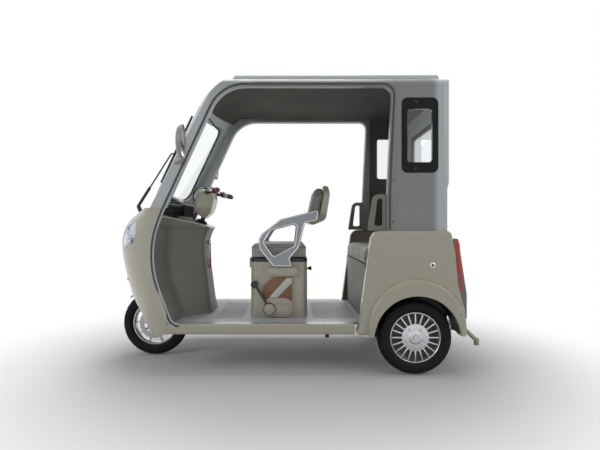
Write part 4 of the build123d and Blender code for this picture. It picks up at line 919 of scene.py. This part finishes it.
# %% Front wheel
def front_wheel():
    centre = FRONT_AXLE
    lip = lathe("front_lip", [(0.1458, -0.0318), (0.1458, 0.0318), (0.1400, 0.0318), (0.1360, 0.026),
                              (0.1325, 0.016),
                              (0.1325, -0.016), (0.1360, -0.026), (0.1400, -0.0318)], centre, 96)
    hub = lathe("front_hub", [(0.0085, -0.0376), (0.026, -0.0376), (0.034, -0.030), (0.034, 0.030),
                              (0.026, 0.0376),
                              (0.0085, 0.0376)], centre, 48)
    arms = turned_copies(spoke("front_spoke", centre, 0.030, 0.1335, -0.015, 0.003, 0.016, 0.010),
                         centre, 10)
    piece = joined("front_wheel_cast", [lip, hub, arms])
    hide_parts("front_rim")
    return settle(piece, "front_wheel", SILVER, 40)


front_wheel()

# %% [markdown]
# The front brake disc is drilled: rings of small holes with dark depth behind. A flat ring is
# spun with enough steps that single faces can be sunk into holes.

# %% Drilled brake disc
def drilled_disc():
    centre = FRONT_AXLE
    rows = [0.070, 0.0745, 0.0790, 0.0835, 0.0880, 0.0925, 0.0965, 0.100]
    outside = [(radius, -0.043) for radius in rows]
    inside = [(radius, -0.039) for radius in reversed(rows)]
    piece = lathe("drilled_disc", outside + inside, centre, 90)

    def hole(place, normal):
        reach, turn = around(centre, place)
        step = int(turn / (2 * pi) * 90)
        row = next((index for index, (a, b) in enumerate(zip(rows, rows[1:])) if a < reach < b), -1)
        return abs(normal.y) > 0.9 and row in (1, 3, 5) and (step + row) % 5 == 0

    pick(piece, "FACE", hole)
    bpy.ops.mesh.inset(thickness=0.0004, depth=0, use_individual=True)
    bpy.ops.mesh.delete(type="FACE")
    done()
    carrier = lathe("disc_carrier", [(0.0085, -0.043), (0.038, -0.043), (0.040, -0.042),
                                     (0.040, -0.0384), (0.0085, -0.0384)],
                    centre, 48)
    arms = turned_copies(spoke("disc_arm", centre, 0.036, 0.074, -0.043, -0.039, 0.014, 0.010), centre, 6)
    bolts = turned_copies(nut("disc_bolt", centre, 0.028, 0.0045, -0.0455, -0.0425), centre, 5)
    whole = joined("drilled_disc", [piece, carrier, arms, bolts])
    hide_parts("brake_disc")
    return settle(whole, "front_wheel", DISC_STEEL, 30)


drilled_disc()

# %% [markdown]
# ## Seals
# A dark bead between two light ribs runs round the door opening, its dark grey a painted shade for the
# groove there, and a flat rubber seal holds the windscreen. Their lines follow the openings' own corners,
# and a ray finds the panel they lie on, so that they hug the curved nose as well as the flat side.

# %% Rounded outlines
def rounded_line(corners, shut=False, steps=10):
    """Points along an outline of (a, b, radius) corners, with arcs at the rounded ones."""
    points = []
    for index, (a, b, radius) in enumerate(corners):
        here = Vector((a, b))
        if radius == 0 or (not shut and index in (0, len(corners) - 1)):
            points.append(here)
            continue
        back = (Vector(corners[index - 1][:2]) - here).normalized()
        onward = (Vector(corners[(index + 1) % len(corners)][:2]) - here).normalized()
        half = back.angle(onward) / 2
        centre = here + (back + onward).normalized() * (radius / sin(half))
        first = here + back * (radius * cos(half) / sin(half)) - centre
        last = here + onward * (radius * cos(half) / sin(half)) - centre
        for step in range(steps + 1):
            part = step / steps
            along = (first * (1 - part) + last * part).normalized()
            points.append(centre + along * radius)
    return points


def pushed_out(points, distance, shut=False):
    """The same line, moved to its left by a distance."""
    moved = []
    count = len(points)
    for index, point in enumerate(points):
        before = points[index - 1] if index or shut else points[0]
        after = points[(index + 1) % count] if index < count - 1 or shut else points[-1]
        way = (after - before).normalized()
        moved.append(point + Vector((-way.y, way.x)) * distance)
    return moved


def struck(names, origin, direction):
    """Where a ray first meets one of the named CAD nodes."""
    best = None
    for name in names:
        hit, place, normal, face = nodes[name].ray_cast(Vector(origin), Vector(direction))
        if hit and (best is None or (place - Vector(origin)).length < (best - Vector(origin)).length):
            best = place
    return best


def strip(name, points, radius, body, finish, shut=False):
    """Extruded rubber or plastic section along 3-D points."""
    deselect()
    curve = bpy.data.curves.new(name, "CURVE")
    curve.dimensions = "3D"
    spline = curve.splines.new("POLY")
    spline.points.add(len(points) - 1)
    for point, place in zip(spline.points, points):
        point.co = (*place, 1)
    spline.use_cyclic_u = shut
    curve.bevel_depth = radius
    curve.bevel_resolution = 2
    curve.use_fill_caps = not shut
    piece = bpy.data.objects.new(name, curve)
    bpy.context.scene.collection.objects.link(piece)
    piece.select_set(True)
    bpy.context.view_layer.objects.active = piece
    bpy.ops.object.convert(target="MESH")
    return settle(bpy.context.object, body, finish, 60)


# %% Door beads, the dark one coloured as painted shade
DOOR_LINE = [
    # x, z, radius
    (-0.676, 0.2985, 0), (-0.712, 0.2985, 0.05), (-0.856, 0.687, 0.5), (-0.765, 0.935, 0.15),
             (-0.426, 1.663, 0.205),
    (0.552, 1.663, 0.052), (0.524, 1.049, 0.3), (0.524, 0.838, 0),
]
door = rounded_line(DOOR_LINE)


def bodyside(distance):
    """Where the bodyside lies along the door line, pushed out by a distance."""
    reached = []
    last_y = -0.475
    for point in pushed_out(door, distance):
        hit = struck(["front_cowl", "side_frames", "side_sills"], (point.x, -0.62, point.y), (0, 1, 0))
        last_y = hit.y if hit and hit.y < -0.38 else last_y
        reached.append(last_y)
    return reached


# The dark bead's colour is painted shade in the door groove; the outer and inner ribs are the grey paint.
for label, distance, sink, radius, slot, finish in (("dark", 0.013, 0.0045, 0.0085, "black_rubber",
                                                     GROOVE_SHADE_GREY),
                                                    ("outer", 0.0235, 0.0005, 0.0040, "grey_paint", GREY),
                                                    ("inner", 0.0025, 0.0005, 0.0050, "grey_paint", GREY)):
    line = [(point.x, y + sink, point.y) for point,
            y in zip(pushed_out(door, distance), bodyside(max(distance, 0.010)))]
    left = strip(f"door_seal_{label}_left", line, radius, "chassis", finish)
    right = [(x, -y, z) for x, y, z in line]
    strip(f"door_seal_{label}_right", right, radius, "chassis", finish)
print("door line points:", len(door))

# %% Windscreen seal
SCREEN_LINE = [(-0.392, 1.050, 0.07), (0.392, 1.050, 0.07), (0.372, 1.592, 0.06), (-0.372, 1.592, 0.06)]
screen = rounded_line(SCREEN_LINE, shut=True)
line = []
for point in pushed_out(screen, 0.006, shut=True):
    hit = struck(["windscreen_frame", "windscreen_glass"], (-1.3, point.x, point.y), (1, 0, 0))
    if hit:
        line.append(tuple(hit))
strip("windscreen_seal", line, 0.006, "chassis", BLACK_RUBBER, shut=True)

# %% [markdown]
# ## Seat side
# On the box's left side a brown panel with a pale diagonal band sits between two cream brackets.
# The panel is a thin plate with one broad round corner. The band is a second plate with its own outline,
# ending close to the panel's edge.

# %% Brown panel with its band
def rounded_plate(name, corners, y_low, y_high):
    """Flat plate from an outline of (x, z, radius) corners."""
    deselect()
    points = rounded_line(corners, shut=True, steps=12)
    bpy.ops.mesh.primitive_circle_add(vertices=len(points), radius=0.1, fill_type="NGON",
                                      location=(0, 0, 0))
    piece = bpy.context.object
    piece.name = name
    for vertex, point in zip(piece.data.vertices, points):
        vertex.co = (point.x, y_high, point.y)
    pick(piece, "FACE", lambda place, normal: True)
    bpy.ops.mesh.extrude_region_move(TRANSFORM_OT_translate={"value": (0, y_low - y_high, 0)})
    bpy.ops.mesh.select_all(action="SELECT")
    bpy.ops.mesh.normals_make_consistent(inside=False)
    done()
    return piece


EDGE = [(-0.208, 0.405, 0.003), (-0.021, 0.405, 0.003), (-0.021, 0.5465, 0.006), (-0.208, 0.5465, 0.098)]
edge = rounded_plate("seat_gold_edge", EDGE, -0.2785, -0.2755)
settle(rounded(edge, 0.0005), "chassis", EDGE_GOLD)
PANEL = [(-0.2055, 0.406, 0.003), (-0.0235, 0.406, 0.003), (-0.0235, 0.544, 0.004), (-0.2055, 0.544, 0.095)]
panel = rounded_plate("seat_brown_panel", PANEL, -0.2795, -0.2765)
settle(rounded(panel, 0.0006), "chassis", PANEL_BROWN)
BAND = [(-0.165, 0.420, 0.002), (-0.113, 0.420, 0.002), (-0.0245, 0.512, 0.002), (-0.0245, 0.541, 0.004),
        (-0.056, 0.541, 0.004)]
band = rounded_plate("seat_pale_band", BAND, -0.2808, -0.2785)
settle(rounded(band, 0.0004), "chassis", STRIPE_PALE)

# %% Bracket covers
def cover(name, corners, y_low, y_high, lip, sunk):
    """Raised plate with a soft edge and a shallow tray inside its lip."""
    piece = rounded_plate(name, corners, y_low, y_high)
    pick(piece, "FACE", lambda place, normal: normal.y < -0.9)
    bpy.ops.mesh.inset(thickness=lip, depth=0)
    bpy.ops.mesh.inset(thickness=0.0022, depth=-sunk)
    done()
    return settle(rounded(piece, 0.0016, 3), "chassis", CREAM)


cover("upper_bracket_cover", [(-0.176, 0.555, 0.0235), (0.010, 0.555, 0.0235), (0.010, 0.604, 0.0235),
                              (-0.176, 0.604, 0.0235)],
      -0.2960, -0.2905, 0.006, -0.0012)
cover("lower_bracket_cover", [(-0.152, 0.318, 0.03), (-0.030, 0.318, 0.034), (-0.030, 0.392, 0.034),
                              (-0.152, 0.392, 0.03)],
      -0.2945, -0.2885, 0.0075, 0.0026)
cover("lower_bracket_button", [(-0.140, 0.331, 0.018), (-0.044, 0.331, 0.022), (-0.044, 0.379, 0.022),
                               (-0.140, 0.379, 0.018)],
      -0.2962, -0.2905, 0.004, 0.0)

# %% Knob
knob = lathe("lever_pivot_cap", [(0.0, -0.3066), (0.030, -0.3066), (0.0355, -0.3050), (0.037, -0.3020),
                                 (0.037, -0.2990),
                                 (0.0, -0.2990)], (-0.162, 0.351), 48)
settle(knob, "chassis", CREAM)
ring = hoop("lever_pivot_ring", 0.028, 0.0012, (-0.162, -0.3066, 0.351))
settle(ring, "chassis", CREAM)
black_knob = lathe("box_lock_knob", [(0.0, 0.0), (0.006, 0.0), (0.006, 0.010), (0.008, 0.012),
                                     (0.010, 0.018),
                                     (0.014, 0.026), (0.012, 0.032), (0.0, 0.033)], (0.0, 0.0), 24)
black_knob.data.transform(Matrix.Translation((0.0708, -0.12, 0.587)) @ Matrix.Rotation(radians(-90), 4,
                                                                                       "Z"))
settle(black_knob, "chassis", BLACK_PLASTIC)

# %% [markdown]
# ## Screws
# Small dark screws hold the rear pillar, roof rail and lining. One pan-head screw is spun and copied to
# each place.

# %% One screw head and its places
def screw(name, place, direction, radius=0.006):
    """Domed screw head that looks along a direction."""
    piece = lathe(name, [(0.0, -0.0024), (radius * 0.55, -0.0021), (radius * 0.85, -0.0012), (radius, 0.0),
                         (radius, 0.0010), (0.0, 0.0010)], (0.0, 0.0), 20)
    turn = Vector(direction).to_track_quat("-Y", "Z").to_matrix().to_4x4()
    piece.data.transform(Matrix.Translation(place) @ turn)
    return piece


SCREWS = [
    # x, z on the left rear pillar
    (0.5575, 1.607), (0.5575, 1.366), (0.5575, 1.128), (0.5575, 0.886),
]
heads = []
for x, z in SCREWS:
    hit = struck(["side_frames"], (x, -0.62, z), (0, 1, 0))
    if hit:
        heads.append(screw("frame_screw", (x, hit.y, z), (0, -1, 0)))
print("screws:", len(heads))
settle(both_sides(joined("frame_screws", heads), "frame_screws"), "chassis", SCREW_DARK)
inside = []
for x in (-0.25, 0.06, 0.37):
    hit = struck(["headliner"], (x, -0.36, 1.2), (0, 0, 1))
    if hit:
        inside.append(screw("lining_screw", tuple(hit), (0, 0, -1)))
settle(both_sides(joined("lining_screws", inside), "lining_screws"), "chassis", SCREW_DARK)

# %% Quarter panel lock, liner apron and cowl plug
lock = lathe("quarter_lock", [(0.0, -0.0035), (0.005, -0.0035), (0.006, -0.0015), (0.0125, -0.0020),
                              (0.0150, -0.0005),
                              (0.0155, 0.002), (0.0, 0.002)], (0.0, 0.0), 32)
hit = struck(["quarter_panels"], (0.777, -0.62, 0.637), (0, 1, 0))
lock.data.transform(Matrix.Translation((0.777, hit.y, 0.637)))
settle(both_sides(lock, "quarter_locks"), "chassis", CHROME)
keyway = drum("quarter_keyway", 0.0085, (0.777, hit.y - 0.0046, 0.637), (0.777, hit.y - 0.0010, 0.637), 24)
settle(both_sides(rounded(keyway, 0.0008), "quarter_keyways"), "chassis", GLOSS_BLACK)
LINER_Y = -0.3400
apron = block("liner_apron", (0.815, LINER_Y, 0.262), (0.912, LINER_Y + 0.0035, 0.353))
settle(both_sides(rounded(apron, 0.001), "liner_aprons"), "chassis", BLACK_PLASTIC)
plug = lathe("cowl_plug", [(0.0, -0.0020), (0.010, -0.0018), (0.0125, -0.0008), (0.0125, 0.003),
                           (0.0, 0.003)], (0.0, 0.0), 32)
hit = struck(["front_cowl"], (-1.06, -0.62, 0.53), (0, 1, 0))
plug.data.transform(Matrix.Translation((-1.06, hit.y if hit else -0.3,
                                        0.53)) @ Matrix.Rotation(radians(-52), 4, "Z"))
settle(both_sides(plug, "cowl_plugs"), "chassis", INNER_GREY)

# %% [markdown]
# ## Handlebar
# Above the cream cover the real handlebar carries switch housings, brake levers, a brake-fluid pot and
# cables. Housings are short drums with rounded ends. A lever is a round tube along a bent line, with a ball
# end. Cables are smooth tubes, fixed at both ends.

# %% Places along the bar
BAR = [Vector((-0.582, 0.0, 1.084)), Vector((-0.582, 0.104, 1.084)), Vector((-0.512, 0.205, 1.084)),
       Vector((-0.476, 0.335, 1.078))]
OUT = (BAR[3] - BAR[2]).normalized()


def bar_drum(name, start, end, radius, sides=28):
    """Drum round the grip's line, from and to a distance out from the bend."""
    return drum(name, radius, BAR[2] + OUT * start, BAR[2] + OUT * end, sides)


# %% Switch housings, grip ends and levers
housing = applied(rounded(bar_drum("switch_housing", -0.026, 0.013, 0.021), 0.004, 3))
button = block("switch_button", (-0.541, 0.186, 1.098), (-0.527, 0.200, 1.1085))
button = applied(rounded(button, 0.002, 2))
settle(both_sides(joined("switch_housing", [housing]), "switch_housings"), "steering",
       ARM_SILVER)
collar = applied(rounded(bar_drum("switch_collar", 0.0125, 0.0195, 0.0195), 0.0015, 2))
settle(both_sides(collar, "switch_collars"), "steering", SWITCH_RED)
settle(both_sides(button, "switch_buttons"), "steering", SWITCH_RED)
ribs = []
for number in range(13):
    start = 0.020 + number * 0.0085
    ribs.append(applied(rounded(bar_drum(f"grip_rib_{number}", start, start + 0.0045, 0.0172, 24),
                                0.0012, 1)))
settle(both_sides(joined("grip_ribs", ribs), "grip_ribs"), "steering", GRIP_BROWN)
end = applied(rounded(bar_drum("grip_end", 0.127, 0.139, 0.0165, 28), 0.003, 2))
settle(both_sides(end, "grip_ends"), "steering", CHROME)


def brake_lever():
    """Round lever ahead of the left grip, with a ball end."""
    forward = Vector((-1, 0.28, 0)).normalized()
    base = BAR[2] + forward * 0.034
    points = [BAR[2] + forward * 0.014, base, base + OUT * 0.035 + forward * 0.012,
              base + OUT * 0.085 + forward * 0.008,
              base + OUT * 0.130 + forward * 0.004]
    lever = tube("lever", [tuple(point) for point in points], 0.0052)
    ball = bulb("lever_ball", 0.0085, tuple(points[-1]), 10)
    return joined("brake_lever", [lever, ball])


settle(both_sides(brake_lever(), "brake_levers"), "steering", CHROME, 60)

# %% Fluid pot and cables
pot = drum("fluid_pot", 0.017, (-0.560, 0.128, 1.094), (-0.560, 0.128, 1.118), 28)
cap = drum("fluid_cap", 0.0185, (-0.560, 0.128, 1.116), (-0.560, 0.128, 1.123), 28)
settle(joined("brake_fluid_pot", [applied(rounded(pot, 0.002)), applied(rounded(cap, 0.0015))]), "steering",
       GLOSS_BLACK)
for number, (lift, side) in enumerate(((0.030, 0.185), (0.012, 0.180))):
    cable = tube("bar_cable", [(-0.548, side, 1.092), (-0.585, side - 0.01, 1.100 + lift * 0.4),
                               (-0.640, side - 0.035, 1.085 + lift),
                               (-0.672, side - 0.075, 1.050 + lift * 0.5),
                               (-0.668, 0.080, 1.020), (-0.648, 0.060, 1.000)], 0.0032)
    settle(both_sides(cable, f"bar_cables_{number}"), "steering", BLACK_RUBBER, 60)

# %% [markdown]
# The dash carries a dark glossy display under a cream hood. The glass is a thin plate with
# rounded corners, laid on the hood's slope, with a black surround below it that faces the driver.

# %% Display
display = rounded_plate("display_glass", [(-0.038, -0.084, 0.014), (0.036, -0.092, 0.014),
                                          (0.036, 0.092, 0.014),
                                          (-0.038, 0.084, 0.014)], -0.0015, 0.0025)
slope = radians(32.7)
display.data.transform(Matrix.Translation((-0.7605, 0.0, 1.0265)) @ Matrix.Rotation(slope, 4, "Y")
                       @ Matrix.Rotation(radians(-90), 4, "X"))
settle(rounded(display, 0.001), "chassis", GLOSS_BLACK)
surround = block("display_surround", (-0.731, -0.1475, 0.9225), (-0.7195, 0.1475, 0.999))
pick(surround, "FACE", lambda place, normal: normal.x > 0.9)
bpy.ops.mesh.inset(thickness=0.009, depth=-0.003)
done()
settle(rounded(surround, 0.0015), "chassis", MATT_BLACK)

# %% Brow over the display
brow = [(-0.866, 0.945), (-0.856, 1.020), (-0.842, 1.038), (-0.812, 1.047), (-0.790, 1.044),
        (-0.724, 1.003)]
for side, label in ((-0.146, "left"), (0.146, "right")):
    strip(f"display_brow_{label}", [(x, side, z) for x, z in brow], 0.0075, "chassis", CREAM)

# %% [markdown]
# The leg shield's rim rises to meet the sloping dash. Its collar is a wall that stands on the
# shield's edge. A ray finds the dash above each point, so the wall ends just under it.

# %% Collar under the dash
COLLAR = [(-0.806, -0.444), (-0.796, -0.36), (-0.785, -0.275), (-0.742, -0.222), (-0.66, -0.170),
          (-0.590, -0.125),
          (-0.572, -0.108), (-0.5685, -0.05), (-0.5685, 0.0)]
plan = COLLAR + [(x, -y) for x, y in reversed(COLLAR[:-1])]
deselect()
bpy.ops.mesh.primitive_grid_add(x_subdivisions=len(plan) - 1, y_subdivisions=1, size=1)
collar = bpy.context.object
collar.name = "shield_collar"
tops = []
for x, y in plan:
    hit = struck(["dash_top"], (x, y, 0.80), (0, 0, 1))
    tops.append(hit.z - 0.0008 if hit else 0.850)
columns = sorted({round(vertex.co.x, 4) for vertex in collar.data.vertices})
for vertex in collar.data.vertices:
    index = columns.index(round(vertex.co.x, 4))
    x, y = plan[index]
    vertex.co = (x, y, max(tops[index], 0.848) if vertex.co.y > 0 else 0.8465)
collar.modifiers.new("wall", "SOLIDIFY").thickness = 0.006
collar.modifiers["wall"].offset = 0
settle(rounded(collar, 0.001), "chassis", INNER_GREY)

# %% Key with its tag
barrel = drum("key_barrel", 0.011, (-0.592, 0.0, 0.752), (-0.571, 0.0, 0.752), 24)
settle(rounded(barrel, 0.002), "chassis", CHROME)
strap = block("key_strap", (-0.5765, -0.007, 0.640), (-0.5725, 0.007, 0.748))
settle(rounded(strap, 0.0012), "chassis", MATT_BLACK)
fob = block("key_fob", (-0.580, -0.012, 0.580), (-0.570, 0.012, 0.644))
settle(rounded(fob, 0.003, 3), "chassis", FOB_RED)

# %% [markdown]
# ## Lamps
# Behind each clear lens sits a bright bowl with a dished reflector, a bulb with a dark cap and a
# rib that parts the main beam from the indicator. A ray finds the bowl's surface for each one.
# The tail lamps wrap round the corner with a red side lens on the grey trim.

# %% Head lamp insides
def on_bowl(x, z, out):
    """Place in front of the left lamp's bowl."""
    hit = struck(["head_lamp_rims"], (x, -0.62, z), (0, 1, 0))
    return Vector((x, (hit.y if hit else -0.30) - out, z))


dishes = []
for x, z, radius in ((-1.018, 0.842, 0.021), (-0.992, 0.775, 0.016)):
    middle = on_bowl(x, z, 0.004)
    dish = lathe("lamp_dish", [(0.0, 0.0), (radius * 0.5, -0.0010), (radius * 0.85, -0.0045),
                               (radius, -0.0095),
                               (radius * 1.06, -0.0095), (radius * 1.06, 0.001), (0.0, 0.001)],
                 (0.0, 0.0), 32)
    dish.data.transform(Matrix.Translation(middle) @ Matrix.Rotation(radians(-38), 4, "Z"))
    dishes.append(dish)
settle(both_sides(joined("lamp_dishes", dishes), "lamp_dishes"), "chassis", LAMP_SILVER)
bulbs = []
for x, z, radius in ((-1.018, 0.842, 0.0055), (-0.992, 0.792, 0.0045)):
    bulbs.append(bulb("lamp_bulb", radius, on_bowl(x, z, 0.010), 8))
settle(both_sides(joined("lamp_bulbs", bulbs), "lamp_bulbs"), "chassis", GLOSS_BLACK)
rib = [tuple(on_bowl(x, z, 0.003)) for x, z in ((-1.055, 0.822), (-1.035, 0.815), (-1.01, 0.808),
                                                (-0.985, 0.803), (-0.965, 0.802))]
strip("lamp_rib_left", rib, 0.0028, "chassis", LAMP_SILVER)
strip("lamp_rib_right", [(x, -y, z) for x, y, z in rib], 0.0028, "chassis", LAMP_SILVER)

# %% Tail lamp side lenses
TAIL_SIDE = [(0.911, 0.780, 0.003), (0.9225, 0.643, 0.12), (0.947, 0.487, 0.003),
             (0.9535, 0.487, 0.003), (0.9290, 0.776, 0.004)]
lens = rounded_plate("tail_side_lens", TAIL_SIDE, -0.4885, -0.4845)
settle(both_sides(rounded(lens, 0.0012), "tail_side_lenses"), "chassis", TAIL_RED)

# %% [markdown]
# ## Cast armrests
# Each armrest is cast with a raised bead along its outer and inner edges. The beads follow the
# casting's own outlines, a few millimetres inside them, half sunk in its outer face.

# %% Beads on the armrests
ARM_OUTER = [(0.144, 0.962, 0.016), (-0.095, 0.902, 0.060), (-0.226, 0.800, 0.060), (-0.226, 0.722, 0.050),
             (-0.140, 0.612, 0.020), (-0.022, 0.612, 0.010), (-0.038, 0.660, 0.020), (0.020, 0.730, 0.060),
             (0.056, 0.880, 0.014), (0.130, 0.893, 0.014)]
ARM_INNER = [(0.006, 0.876, 0.018), (-0.151, 0.833, 0.030), (-0.197, 0.759, 0.024), (-0.136, 0.674, 0.020),
             (-0.008, 0.742, 0.024)]
# The beads take the bright cast silver, not the armrest's darker finish: a painted highlight along the
# raised ribs, which are real.
for label, outline, inset in (("outer", ARM_OUTER, 0.0052), ("inner", ARM_INNER, -0.0052)):
    bead = pushed_out(rounded_line(outline, shut=True), inset, shut=True)
    for side, name in ((-1, "left"), (1, "right")):
        strip(f"arm_bead_{label}_{name}", [(point.x, side * 0.3035, point.y) for point in bead], 0.0042,
              "chassis",
              SILVER, shut=True)

# %% [markdown]
# ## Handlebar cover
# The cover is a soft-edged moulding. The CAD shape is remeshed evenly and its edges relaxed.

# %% Soft cover
cover_skin = bpy.data.objects.new("head_cover_skin", nodes["head_cover"].data.copy())
bpy.context.scene.collection.objects.link(cover_skin)
pick(cover_skin, "VERT", lambda co: True)
bpy.ops.mesh.remove_doubles(threshold=0.0001)
done()
cover_skin.modifiers.new("even", "REMESH").mode = "VOXEL"
cover_skin.modifiers["even"].voxel_size = 0.0024
relax = cover_skin.modifiers.new("relax", "SMOOTH")
relax.factor = 0.5
relax.iterations = 40
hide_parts("head_cover")
settle(cover_skin, "steering", CREAM, 80)

# %% [markdown]
# ## Last small pieces
# The wiper's thick foot and its blade lie over the thin CAD rods. The side windows have round
# catches, and a rubber peg stands under each sill.

# %% Wiper arm, window catches and sill peg
WIPER_Y = -0.130
arm = joined("wiper_arm", [
    drum("wiper_base", 0.0095, (-1.0235, WIPER_Y, 0.986), (-0.944, WIPER_Y, 1.112), 20),
    drum("wiper_blade", 0.0075, (-0.8715, WIPER_Y, 1.143), (-0.670, WIPER_Y, 1.574), 16)])
settle(rounded(arm, 0.002), "chassis", BLACK_PLASTIC)
catches = []
for x, z in ((0.690, 1.5735), (0.684, 1.190)):
    hit = struck(["window_frames"], (x, -0.62, z), (0, 1, 0))
    if hit:
        knob = lathe("catch", [(0.0, -0.0045), (0.006, -0.0042), (0.0085, -0.002), (0.009, 0.001),
                               (0.0, 0.001)], (0, 0), 24)
        knob.data.transform(Matrix.Translation(hit))
        catches.append(knob)
settle(both_sides(joined("window_catches", catches), "window_catches"), "chassis",
       BLACK_PLASTIC)
peg = drum("sill_peg", 0.012, (0.182, -0.410, 0.2365), (0.182, -0.410, 0.206), 24)
settle(both_sides(rounded(peg, 0.003), "sill_pegs"), "chassis", BLACK_RUBBER)
